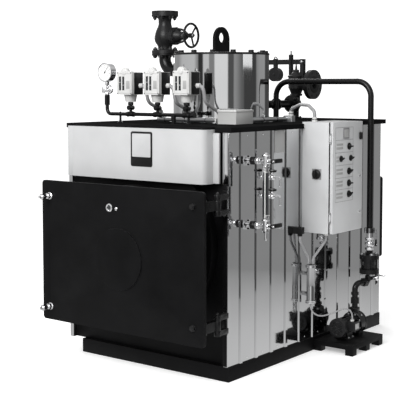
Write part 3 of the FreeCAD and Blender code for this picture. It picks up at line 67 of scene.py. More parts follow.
class Tree:
    """Short way to add and join nodes in one node tree."""

    def __init__(self, tree: bpy.types.NodeTree) -> None:
        """Keep the tree that nodes are added to."""
        self.tree = tree

    def add(self, kind: str, **settings: object) -> bpy.types.Node:
        """Add a node.

        Args:
            kind: Blender's name of the node type.
            settings: Values of the node's own properties.

        Returns:
            The new node.
        """
        node = self.tree.nodes.new(kind)
        for key, value in settings.items():
            setattr(node, key, value)
        return node

    def join(self, source: bpy.types.NodeSocket, target: bpy.types.NodeSocket) -> None:
        """Link two sockets.

        Args:
            source: Output that is read.
            target: Input that takes it.
        """
        self.tree.links.new(source, target)

    def noise(self, vector: bpy.types.NodeSocket, scale: float, detail: float = 3.0) -> bpy.types.Node:
        """Add a noise texture.

        Args:
            vector: Where the pattern is read.
            scale: Cells in a metre.
            detail: Number of finer layers.

        Returns:
            The noise node.
        """
        node = self.add("ShaderNodeTexNoise")
        node.inputs["Scale"].default_value = scale
        node.inputs["Detail"].default_value = detail
        self.join(vector, node.inputs["Vector"])
        return node

    def ramp(self, value: bpy.types.NodeSocket, low: float, high: float,
             first: float = 0.0, last: float = 1.0) -> bpy.types.Node:
        """Map a value from one range to another, clamped.

        Args:
            value: Socket that is read.
            low: Value that gives first.
            high: Value that gives last.
            first: Result at low.
            last: Result at high.

        Returns:
            The map range node.
        """
        node = self.add("ShaderNodeMapRange")
        for name, number in (("From Min", low), ("From Max", high), ("To Min", first), ("To Max", last)):
            node.inputs[name].default_value = number
        self.join(value, node.inputs["Value"])
        return node

    def mixed(self, factor: bpy.types.NodeSocket, first: object, second: object) -> bpy.types.Node:
        """Mix two colours.

        Args:
            factor: Share of the second.
            first: Socket or colour.
            second: Socket or colour.

        Returns:
            The mix node, whose result is its third output.
        """
        node = self.add("ShaderNodeMix", data_type="RGBA")
        self.join(factor, node.inputs[0])
        for place, source in ((6, first), (7, second)):
            if isinstance(source, bpy.types.NodeSocket):
                self.join(source, node.inputs[place])
            else:
                node.inputs[place].default_value = (*source, 1.0)
        return node

    def sums(self, operation: str, *values: object) -> bpy.types.Node:
        """Add a math node.

        Args:
            operation: Blender's name of the sum.
            values: Its inputs, as sockets or numbers.

        Returns:
            The math node.
        """
        node = self.add("ShaderNodeMath", operation=operation)
        for place, value in enumerate(values):
            if isinstance(value, bpy.types.NodeSocket):
                self.join(value, node.inputs[place])
            else:
                node.inputs[place].default_value = value
        return node


class Effects:
    """Shader node groups that several finishes share, each built once."""

    KINDS = {"Colour": "NodeSocketColor", "Vector": "NodeSocketVector"}

    def __init__(self) -> None:
        """Build every group."""
        self.grain = self._grain()
        self.sheet = self._sheet()
        self.wear = self._wear()
        self.dust = self._dust()

    def _new(self, name: str, inputs: dict[str, object], outputs: Sequence[str]) -> tuple:
        """Start a group.

        Args:
            name: Name of the group.
            inputs: Socket names and their values.
            outputs: Socket names.

        Returns:
            The group, its helper, its input node and its output node.
        """
        group = bpy.data.node_groups.new(name, "ShaderNodeTree")
        for title, value in inputs.items():
            kind = self.KINDS.get(title.split(" ")[-1], "NodeSocketFloat")
            socket = group.interface.new_socket(name=title, in_out="INPUT", socket_type=kind)
            if value is not None:
                socket.default_value = value
        for title in outputs:
            kind = self.KINDS.get(title, "NodeSocketFloat")
            group.interface.new_socket(name=title, in_out="OUTPUT", socket_type=kind)
        tree = Tree(group)
        return group, tree, tree.add("NodeGroupInput"), tree.add("NodeGroupOutput")

    def _grain(self) -> bpy.types.NodeTree:
        """Cloudy tone and fine relief of paint, castings, plastic and board."""
        group, tree, given, made = self._new(
            "surface_grain",
            {"Vector": None, "Colour": (0.5, 0.5, 0.5, 1), "Variation": 0.1, "Scale": 300.0,
             "Roughness": 0.4, "Spread": 0.1},
            ("Colour", "Roughness", "Height"))
        fine = tree.add("ShaderNodeTexNoise")
        fine.inputs["Detail"].default_value = 4.0
        tree.join(given.outputs["Vector"], fine.inputs["Vector"])
        tree.join(given.outputs["Scale"], fine.inputs["Scale"])
        cloud = tree.noise(given.outputs["Vector"], 6.0, 5.0)
        tone = tree.ramp(cloud.outputs["Fac"], 0.3, 0.7)
        shift = tree.sums("MULTIPLY_ADD", tone.outputs[0], 2.0, -1.0)
        amount = tree.sums("MULTIPLY", shift.outputs[0], given.outputs["Variation"])
        bright = tree.sums("ADD", amount.outputs[0], 1.0)
        scaled = tree.add("ShaderNodeVectorMath", operation="SCALE")
        tree.join(given.outputs["Colour"], scaled.inputs[0])
        tree.join(bright.outputs[0], scaled.inputs["Scale"])
        tree.join(scaled.outputs[0], made.inputs["Colour"])
        patches = tree.noise(given.outputs["Vector"], 23.0, 4.0)
        centred = tree.sums("SUBTRACT", patches.outputs["Fac"], 0.5)
        spread = tree.sums(
            "MULTIPLY_ADD", centred.outputs[0], given.outputs["Spread"], given.outputs["Roughness"])
        tree.join(spread.outputs[0], made.inputs["Roughness"])
        tree.join(fine.outputs["Fac"], made.inputs["Height"])
        return group

    def _sheet(self) -> bpy.types.NodeTree:
        """Long soft waves and upright polishing lines of thin bright sheet."""
        group, tree, given, made = self._new(
            "sheet_metal", {"Vector": None, "Lines": 500.0, "Waves": 3.0, "Roughness": 0.12, "Spread": 0.1},
            ("Roughness", "Height", "Mask"))
        stretch = tree.add("ShaderNodeMapping")
        stretch.inputs["Scale"].default_value = (1.0, 1.0, 0.012)
        tree.join(given.outputs["Vector"], stretch.inputs["Vector"])
        lines = tree.add("ShaderNodeTexNoise")
        lines.inputs["Detail"].default_value = 2.0
        tree.join(stretch.outputs[0], lines.inputs["Vector"])
        tree.join(given.outputs["Lines"], lines.inputs["Scale"])
        waves = tree.add("ShaderNodeTexNoise")
        waves.inputs["Detail"].default_value = 1.0
        tree.join(given.outputs["Vector"], waves.inputs["Vector"])
        tree.join(given.outputs["Waves"], waves.inputs["Scale"])
        small = tree.sums("MULTIPLY", lines.outputs["Fac"], 0.003)
        height = tree.sums("ADD", small.outputs[0], waves.outputs["Fac"])
        tree.join(height.outputs[0], made.inputs["Height"])
        centred = tree.sums("SUBTRACT", lines.outputs["Fac"], 0.5)
        rough = tree.sums(
            "MULTIPLY_ADD", centred.outputs[0], given.outputs["Spread"], given.outputs["Roughness"])
        tree.join(rough.outputs[0], made.inputs["Roughness"])
        tree.join(waves.outputs["Fac"], made.inputs["Mask"])
        return group

    def _wear(self) -> bpy.types.NodeTree:
        """Mask along edges, broken up by noise."""
        group, tree, given, made = self._new(
            "edge_wear", {"Vector": None, "Width": 0.002, "Amount": 0.5}, ("Mask",))
        bevel = tree.add("ShaderNodeBevel", samples=4)
        tree.join(given.outputs["Width"], bevel.inputs["Radius"])
        geometry = tree.add("ShaderNodeNewGeometry")
        along = tree.add("ShaderNodeVectorMath", operation="DOT_PRODUCT")
        tree.join(bevel.outputs[0], along.inputs[0])
        tree.join(geometry.outputs["Normal"], along.inputs[1])
        edge = tree.ramp(along.outputs["Value"], 0.98, 0.8)
        breaks = tree.noise(given.outputs["Vector"], 90.0, 5.0)
        gate = tree.ramp(breaks.outputs["Fac"], 0.42, 0.62)
        worn = tree.sums("MULTIPLY", edge.outputs[0], gate.outputs[0])
        result = tree.sums("MULTIPLY", worn.outputs[0], given.outputs["Amount"])
        tree.join(result.outputs[0], made.inputs["Mask"])
        return group

    def _dust(self) -> bpy.types.NodeTree:
        """Mask of the light dust that settles on what faces up."""
        group, tree, given, made = self._new("settled_dust", {"Vector": None, "Amount": 0.2}, ("Mask",))
        geometry = tree.add("ShaderNodeNewGeometry")
        parts = tree.add("ShaderNodeSeparateXYZ")
        tree.join(geometry.outputs["Normal"], parts.inputs[0])
        facing = tree.ramp(parts.outputs["Z"], 0.5, 1.0)
        drift = tree.noise(given.outputs["Vector"], 9.0, 6.0)
        patch = tree.ramp(drift.outputs["Fac"], 0.35, 0.7)
        both = tree.sums("MULTIPLY", facing.outputs[0], patch.outputs[0])
        result = tree.sums("MULTIPLY", both.outputs[0], given.outputs["Amount"])
        tree.join(result.outputs[0], made.inputs["Mask"])
        return group


class Texture(Enum):
    """Which shared pattern a finish takes."""

    GRAIN = "grain"
    SHEET = "sheet"


@dataclass(frozen=True)
class Finish:
    """One surface finish: its colour, gloss and pattern."""

    name: str
    slot: str
    colour: Colour
    roughness: float
    metallic: float = 0.0
    texture: Texture = Texture.GRAIN
    variation: float = 0.12
    scale: float = 400.0
    spread: float = 0.15
    relief: float = 0.00008
    coat: float = 0.0
    specular: float = 0.5
    glow: float = 0.0
    wear: float = 0.0
    bare: Colour = (0.45, 0.45, 0.46)
    dust: float = 0.12

    def build(self, effects: Effects) -> bpy.types.Material:
        """Make the material.

        Args:
            effects: The shared node groups.

        Returns:
            The finished material.
        """
        material = bpy.data.materials.new(self.name)
        material.use_nodes = True
        tree = Tree(material.node_tree)
        shader = material.node_tree.nodes["Principled BSDF"]
        shader.inputs["Metallic"].default_value = self.metallic
        shader.inputs["Coat Weight"].default_value = self.coat
        shader.inputs["Coat Roughness"].default_value = 0.12
        shader.inputs["Specular IOR Level"].default_value = self.specular
        shader.inputs["Emission Color"].default_value = (1.0, 1.0, 1.0, 1.0)
        shader.inputs["Emission Strength"].default_value = self.glow
        place = tree.add("ShaderNodeTexCoord").outputs["Object"]
        pattern = tree.add("ShaderNodeGroup")
        pattern.node_tree = effects.sheet if self.texture is Texture.SHEET else effects.grain
        tree.join(place, pattern.inputs["Vector"])
        pattern.inputs["Roughness"].default_value = self.roughness
        pattern.inputs["Spread"].default_value = self.spread
        if self.texture is Texture.SHEET:
            tone = tree.mixed(
                pattern.outputs["Mask"], self.colour, [part * (1 - self.variation) for part in self.colour])
            colour = tone.outputs[2]
        else:
            pattern.inputs["Colour"].default_value = (*self.colour, 1.0)
            pattern.inputs["Variation"].default_value = self.variation
            pattern.inputs["Scale"].default_value = self.scale
            colour = pattern.outputs["Colour"]
        if self.wear:
            edges = tree.add("ShaderNodeGroup")
            edges.node_tree = effects.wear
            edges.inputs["Amount"].default_value = self.wear
            tree.join(place, edges.inputs["Vector"])
            colour = tree.mixed(edges.outputs["Mask"], colour, self.bare).outputs[2]
        if self.dust:
            settled = tree.add("ShaderNodeGroup")
            settled.node_tree = effects.dust
            settled.inputs["Amount"].default_value = self.dust
            tree.join(place, settled.inputs["Vector"])
            colour = tree.mixed(settled.outputs["Mask"], colour, (0.42, 0.41, 0.4)).outputs[2]
        tree.join(colour, shader.inputs["Base Color"])
        tree.join(pattern.outputs["Roughness"], shader.inputs["Roughness"])
        bump = tree.add("ShaderNodeBump")
        bump.inputs["Strength"].default_value = 1.0
        bump.inputs["Distance"].default_value = self.relief
        tree.join(pattern.outputs["Height"], bump.inputs["Height"])
        tree.join(bump.outputs[0], shader.inputs["Normal"])
        return material


BLACK = Finish("black_enamel", "black_enamel", (0.004, 0.004, 0.0043), 0.5, variation=0.25, scale=260.0,
               relief=0.00006, specular=0.07, wear=0.12, dust=0.02)
TOP_BLACK = Finish("top_plate_enamel", "black_enamel", (0.008, 0.008, 0.0083), 0.7, variation=0.2,
                   specular=0.0, wear=0.05, dust=0.02)
STAINLESS = Finish("stainless_sheet", "stainless", (0.53, 0.533, 0.537), 0.06, 1.0, Texture.SHEET, 0.12,
                   spread=0.05, relief=0.003, dust=0.0)
DOME_SHEET = Finish("dome_sheet", "stainless", (0.66, 0.665, 0.67), 0.05, 1.0, Texture.SHEET, 0.1,
                    spread=0.06, relief=0.0012, dust=0.05)
HOOD = Finish("hood_enamel", "hood_enamel", (0.46, 0.463, 0.467), 0.32, variation=0.04, scale=300.0,
              relief=0.00004, coat=0.2, dust=0.05)
ZINC = Finish("zinc_steel", "grey_steel", (0.42, 0.425, 0.43), 0.33, 0.9, variation=0.18, scale=160.0)
CHROME = Finish("chrome", "bright_metal", (0.8, 0.8, 0.81), 0.12, 1.0, variation=0.05, spread=0.06,
                relief=0.00002, dust=0.03)
CASTING = Finish("painted_casting", "cast_grey", (0.011, 0.011, 0.0115), 0.36, variation=0.25, scale=220.0,
                 relief=0.0005, specular=0.25, wear=0.2, dust=0.04)
PIPE_BLACK = Finish("pipe_black", "black_enamel", (0.006, 0.006, 0.0063), 0.28, variation=0.25,
                    relief=0.0001, specular=0.25, wear=0.12, dust=0.03)
BOX_GREY = Finish("box_enamel", "box_enamel", (0.53, 0.535, 0.54), 0.36, variation=0.05, scale=900.0,
                  relief=0.00006, coat=0.1, wear=0.1)
MOTOR = Finish("motor_enamel", "motor_enamel", (0.012, 0.012, 0.0125), 0.33, variation=0.15, relief=0.0002,
               specular=0.2, wear=0.25, dust=0.04)
WHITE = Finish("white_plastic", "white_plastic", (0.6, 0.6, 0.592), 0.34, variation=0.04, relief=0.00003,
               dust=0.05)
PLASTIC = Finish("black_plastic", "black_plastic", (0.007, 0.007, 0.007), 0.4, variation=0.15,
    relief=0.00005,
                 specular=0.2, dust=0.04)
SHEATH = Finish("cable_sheath", "cable_sheath", (0.3, 0.3, 0.305), 0.5, variation=0.1, relief=0.00004)
BOARD = Finish("refractory_board", "refractory", (0.55, 0.5, 0.42), 0.92, variation=0.25, scale=120.0,
               relief=0.0015)
LABEL = Finish("pale_label", "white_plastic", (0.36, 0.36, 0.357), 0.4, variation=0.03, dust=0.0)
DARK_GLASS = Finish("dark_glass", "black_plastic", (0.01, 0.012, 0.014), 0.05, variation=0.0, relief=0.0,
                    coat=0.5, dust=0.0)
# Near-black matt finish: soot with painted shade in the smoke-tube mouths, and painted shade in the relief
# outlet's bolt holes and behind the motor's fan grille.
SOOT_AND_SHADE = Finish("soot_and_painted_shade", "black_enamel", (0.006, 0.006, 0.006), 0.95, variation=0.4, scale=80.0, relief=0.0008,
              dust=0.0)
DIAL = Finish("gauge_dial", "white_plastic", (0.85, 0.85, 0.84), 0.3, variation=0.02, relief=0.0, coat=0.6,
              dust=0.0)
LEVER_GREY = Finish("lever_grey", "grey_steel", (0.2, 0.2, 0.205), 0.4, variation=0.1, relief=0.00005)
FLOOR = Finish("studio_floor", "white_plastic", (0.9, 0.9, 0.9), 0.6, variation=0.01, relief=0.0, dust=0.0,
               specular=0.0, glow=0.35)

FINISHES = (BLACK, TOP_BLACK, STAINLESS, DOME_SHEET, HOOD, ZINC, CHROME, CASTING, PIPE_BLACK, BOX_GREY,
    MOTOR,
            WHITE, PLASTIC, SHEATH, BOARD, LABEL, DARK_GLASS, SOOT_AND_SHADE, DIAL, LEVER_GREY,
            FLOOR)


class Palette:
    """Every finish as a material, built once."""

    def __init__(self) -> None:
        """Build the shared groups and the materials."""
        effects = Effects()
        self.materials = {finish: finish.build(effects) for finish in FINISHES}

    def paint(self, thing: bpy.types.Object, finish: Finish) -> None:
        """Give an object one finish.

        Args:
            thing: Object that is painted.
            finish: One of the finishes in the palette.
        """
        thing.data.materials.clear()
        thing.data.materials.append(self.materials[finish])


# ---------- shapes

def smooth_bar(name: str, points: Sequence[Sequence[float]], radius: float, steps: int,
               fineness: int) -> bpy.types.Object:
    """Make a round bar along a smooth route, as a curve in the scene.

    Args:
        name: Name of the object and its curve.
        points: Control points of the route.
        radius: Radius of the bar.
        steps: Steps from one control point to the next.
        fineness: Fineness of the bar's section.

    Returns:
        The curve object.
    """
    curve = bpy.data.curves.new(name, "CURVE")
    curve.dimensions = "3D"
    spline = curve.splines.new("NURBS")
    spline.points.add(len(points) - 1)
    for spot, place in zip(spline.points, points):
        spot.co = (*place, 1.0)
    spline.order_u = 3
    spline.use_endpoint_u = True
    curve.resolution_u = steps
    curve.bevel_depth = radius
    curve.bevel_resolution = fineness
    curve.use_fill_caps = True
    bar = bpy.data.objects.new(name, curve)
    bpy.context.scene.collection.objects.link(bar)
    return bar


class Shape:
    """One piece under construction: a bmesh in the frame's own metres."""

    def __init__(self, name: str) -> None:
        """Start with an empty mesh."""
        self.name = name
        self.mesh = bmesh.new()

    def _put(self, verts: Iterable[bmesh.types.BMVert], origin: Sequence[float], axis: Vector) -> None:
        """Turn new vertices from +Z to an axis and move them to a point.

        Args:
            verts: Vertices made about the origin.
            origin: Where the origin goes.
            axis: Unit direction that +Z goes to.
        """
        turn = UP.rotation_difference(axis).to_matrix().to_4x4()
        bmesh.ops.transform(self.mesh, matrix=Matrix.Translation(origin) @ turn, verts=list(verts))

    def _soften(self, verts: Iterable[bmesh.types.BMVert], size: float, segments: int) -> None:
        """Bevel the sharp edges between some vertices.

        Args:
            verts: Vertices of one part of the mesh.
            size: Width of the bevel.
            segments: Steps across it.
        """
        self.mesh.normal_update()
        edges = dict.fromkeys(edge for vert in verts for edge in vert.link_edges)
        sharp = [edge for edge in edges if edge.is_manifold and edge.calc_face_angle() > SMOOTH_ANGLE]
        bmesh.ops.bevel(self.mesh, geom=sharp, offset=size, offset_type="OFFSET", segments=segments,
                        profile=0.5, affect="EDGES", material=-1, clamp_overlap=True)

    def block(self, low: Sequence[float], high: Sequence[float], bevel: float = 0.0,
              segments: int = 2) -> list[bmesh.types.BMVert]:
        """Add a box.

        Args:
            low: Lowest corner.
            high: Highest corner.
            bevel: Width of the softened edges.
            segments: Steps across each softened edge.

        Returns:
            The box's vertices.
        """
        verts = bmesh.ops.create_cube(self.mesh, size=1.0)["verts"]
        size = Vector(high) - Vector(low)
        bmesh.ops.scale(self.mesh, vec=size, verts=verts)
        bmesh.ops.translate(self.mesh, vec=(Vector(low) + Vector(high)) / 2, verts=verts)
        if not bevel:
            return verts
        self._soften(verts, bevel, segments)
        live = [vert for vert in verts if vert.is_valid]
        return self._island(live or self._newest())

    def _newest(self) -> list[bmesh.types.BMVert]:
        """The vertex that was made last."""
        self.mesh.verts.ensure_lookup_table()
        return [self.mesh.verts[-1]]

    def plate(self, low: Sequence[float], high: Sequence[float], axis: Vector, corner: float,
              bevel: float = 0.0) -> list[bmesh.types.BMVert]:
        """Add a box whose four edges along one axis are rounded.

        Args:
            low: Lowest corner.
            high: Highest corner.
            axis: Direction of the rounded edges.
            corner: Radius of the rounding.
            bevel: Width of the softened rims.

        Returns:
            The plate's vertices.
        """
        verts = self.block(low, high)
        edges = dict.fromkeys(edge for vert in verts for edge in vert.link_edges)
        along = [edge for edge in edges
                 if abs((edge.verts[0].co - edge.verts[1].co).normalized().dot(axis)) > 0.99]
        made = bmesh.ops.bevel(
            self.mesh, geom=along, offset=corner, offset_type="OFFSET", segments=6, profile=0.5,
            affect="EDGES", material=-1, clamp_overlap=True)
        live = self._island(made["verts"])
        if bevel:
            self._soften(live, bevel, 2)
            live = self._island(self._newest())
        return live

    def rod(self, start: Sequence[float], axis: Vector, length: float, radius: float,
            end_radius: float | None = None, sides: int = 32, bevel: float = 0.0) -> None:
        """Add a round or many-sided bar.

        Args:
            start: Centre of the first end.
            axis: Unit direction.
            length: Distance to the other end.
            radius: Radius at the start.
            end_radius: Radius at the end, or None for the same.
            sides: Facets round it.
            bevel: Width of the softened rims.
        """
        last = radius if end_radius is None else end_radius
        verts = bmesh.ops.create_cone(self.mesh, cap_ends=True, cap_tris=False, segments=sides, radius1=radius, radius2=last, depth=length)[
            "verts"]
        self._put(verts, Vector(start) + axis * (length / 2), axis)
        if bevel:
            self._soften(verts, bevel, 2)

    def hexagon(self, start: Sequence[float], axis: Vector, length: float, radius: float,
                bevel: float) -> None:
        """Add a six-sided bar with softened rims.

        Args:
            start: Centre of the first end.
            axis: Unit direction.
            length: Distance to the other end.
            radius: From its middle to its corners.
            bevel: Width of the softened rims.
        """
        self.rod(start, axis, length, radius, sides=6, bevel=bevel)

    def turned(self, origin: Sequence[float], axis: Vector, outline: Sequence[tuple[float, float]],
               sides: int = 40) -> None:
        """Add a turned shape.

        Args:
            origin: Point where the outline's height is 0.
            axis: Unit direction that heights grow along.
            outline: Radius and height of each corner, from one end to the other.
            sides: Facets round it.
        """
        verts = [self.mesh.verts.new((radius, 0.0, height)) for radius, height in outline]
        edges = [self.mesh.edges.new(pair) for pair in zip(verts, verts[1:])]
        bmesh.ops.spin(self.mesh, geom=verts + edges, cent=(0, 0, 0), axis=(0, 0, 1),
                       angle=2 * math.pi, steps=sides, use_merge=True)
        made = self._island(verts)
        bmesh.ops.remove_doubles(self.mesh, verts=made, dist=1e-6)
        made = [vert for vert in made if vert.is_valid]
        faces = list(dict.fromkeys(face for vert in made for face in vert.link_faces))
        bmesh.ops.recalc_face_normals(self.mesh, faces=faces)
        self._put(made, origin, axis)

    def _island(self, seeds: Iterable[bmesh.types.BMVert]) -> list[bmesh.types.BMVert]:
        """Find every vertex joined to the seeds.

        Args:
            seeds: Vertices to start from; removed ones are passed over.

        Returns:
            The joined vertices, seeds included.
        """
        found = dict.fromkeys(vert for vert in seeds if vert.is_valid)
        reached = list(found)
        while reached:
            vert = reached.pop()
            for edge in vert.link_edges:
                other = edge.other_vert(vert)
                if other not in found:
                    found[other] = None
                    reached.append(other)
        return list(found)

    def turn(self, verts: Iterable[bmesh.types.BMVert], centre: Sequence[float], axis: Vector,
             angle: float) -> None:
        """Turn vertices about an axis.

        Args:
            verts: What is turned.
            centre: Point on the axis.
            axis: Unit direction of the axis.
            angle: Radians.
        """
        bmesh.ops.rotate(
            self.mesh, cent=Vector(centre), matrix=Matrix.Rotation(angle, 3, axis), verts=list(verts))

    def ring(self, centre: Sequence[float], axis: Vector, radius: float, thickness: float,
             sides: int = 40, around: int = 12) -> None:
        """Add a torus.

        Args:
            centre: Its middle.
            axis: Direction of its hole.
            radius: From its middle to the middle of its bar.
            thickness: Radius of the bar.
            sides: Steps round the ring.
            around: Facets round the bar.
        """
        outline = []
        for step in range(around + 1):
            angle = 2 * math.pi * step / around
            outline.append((radius + thickness * math.cos(angle), thickness * math.sin(angle)))
        self.turned(centre, axis, outline, sides)

    def ball(self, centre: Sequence[float], radius: float, sides: int = 24) -> None:
        """Add a sphere.

        Args:
            centre: Its middle.
            radius: Its radius.
            sides: Facets round it; it has half as many from pole to pole.
        """
        verts = bmesh.ops.create_uvsphere(self.mesh, u_segments=sides, v_segments=sides // 2, radius=radius)[
            "verts"]
        bmesh.ops.translate(self.mesh, vec=Vector(centre), verts=verts)

    def bolt(self, seat: Sequence[float], axis: Vector, across: float, shank: float = 0.0) -> None:
        """Add a hexagon head on a washer, with the screw's end showing.

        Args:
            seat: Point on the face that it sits on.
            axis: Direction in which it stands out.
            across: Size across the flats.
            shank: Length of thread past the nut, or 0 for a head.
        """
        self.rod(seat, axis, across * 0.12, across * 0.62, sides=20, bevel=across * 0.03)
        nut_seat = Vector(seat) + axis * across * 0.12
        self.rod(nut_seat, axis, across * 0.42, across * 0.577, sides=6, bevel=across * 0.05)
        if shank:
            self.rod(nut_seat, axis, across * 0.42 + shank, across * 0.28, sides=16, bevel=across * 0.04)

    def bolt_circle(self, centre: Sequence[float], axis: Vector, radius: float, count: int, across: float,
                    shank: float = 0.0, turn: float = 0.5) -> None:
        """Add bolts in a circle.

        Args:
            centre: Middle of the circle, on the seat.
            axis: Direction in which they stand out.
            radius: Radius of the circle.
            count: Number of bolts.
            across: Size across the flats.
            shank: Length of thread past the nut.
            turn: Share of a step by which the first is turned.
        """
        side = axis.orthogonal().normalized() if abs(axis.x) > 0.5 else RIGHT
        other = axis.cross(side)
        for step in range(count):
            angle = 2 * math.pi * (step + turn) / count
            seat = Vector(centre) + side * radius * math.cos(angle) + other * radius * math.sin(angle)
            self.bolt(seat, axis, across, shank)

    def swept(self, points: Sequence[Sequence[float]], radius: float, sides: int = 4) -> None:
        """Add a round bar along a smooth route.

        Args:
            points: Control points of the route.
            radius: Radius of the bar.
            sides: Fineness of its section.
        """
        self.take(smooth_bar(self.name + "_route", points, radius, 8, sides))

    def take(self, holder: bpy.types.Object, matrix: Matrix | None = None) -> None:
        """Add an object's evaluated mesh and remove the object."""
        graph = bpy.context.evaluated_depsgraph_get()
        graph.update()
        data = bpy.data.meshes.new_from_object(holder.evaluated_get(graph))
        if matrix is not None:
            data.transform(matrix)
        self.mesh.from_mesh(data)
        bpy.data.objects.remove(holder)
        bpy.data.meshes.remove(data)

    def lettering(self, words: str, size: float, matrix: Matrix, depth: float = 0.0004) -> None:
        """Add raised figures.

        Args:
            words: What is written.
            size: Height of the figures.
            matrix: Place, with the text's front along local +Z.
            depth: Thickness of the figures.
        """
        text = bpy.data.curves.new(self.name + "_figures", "FONT")
        text.body = words
        text.size = size
        text.align_x = "CENTER"
        text.align_y = "CENTER"
        text.extrude = depth / 2
        holder = bpy.data.objects.new(self.name + "_figures", text)
        bpy.context.scene.collection.objects.link(holder)
        self.take(holder, matrix)

    def place(self, body: str, palette: Palette, finish: Finish,
              replaces: Sequence[str] = ()) -> bpy.types.Object:
        """Turn the mesh into a piece that rides on a body.

        Args:
            body: Body that it moves with.
            palette: The materials.
            finish: Its finish.
            replaces: Frame nodes that it stands for.

        Returns:
            The new object.
        """
        data = bpy.data.meshes.new(self.name)
        self.mesh.to_mesh(data)
        self.mesh.free()
        data.shade_smooth()
        data.set_sharp_from_angle(angle=SMOOTH_ANGLE)
        thing = bpy.data.objects.new(self.name, data)
        bpy.context.scene.collection.objects.link(thing)
        palette.paint(thing, finish)
        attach(thing, body)
        if replaces:
            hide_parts(*replaces)
        log.info("%s: %d faces, on %s", self.name, len(data.polygons), body)
        return thing


# ---------- studio

# Brightness of the surroundings by bearing: share of a full turn from -X, and value.
BANDS = ((0.0, 0.5), (0.07, 0.9), (0.16, 0.95), (0.19, 0.5), (0.2, 0.06), (0.225, 0.06), (0.235, 1.0),
         (0.268, 1.0), (0.275, 0.4), (0.303, 0.4), (0.312, 1.3), (0.39, 1.3), (0.4, 0.15), (0.43, 0.15),
         (0.438, 0.5), (0.5, 0.2), (0.512, 0.09), (0.6, 0.09), (0.615, 0.45), (0.64, 0.55), (0.7, 0.55),
         (0.72, 0.1), (0.77, 0.1), (0.85, 0.6), (1.0, 0.5))


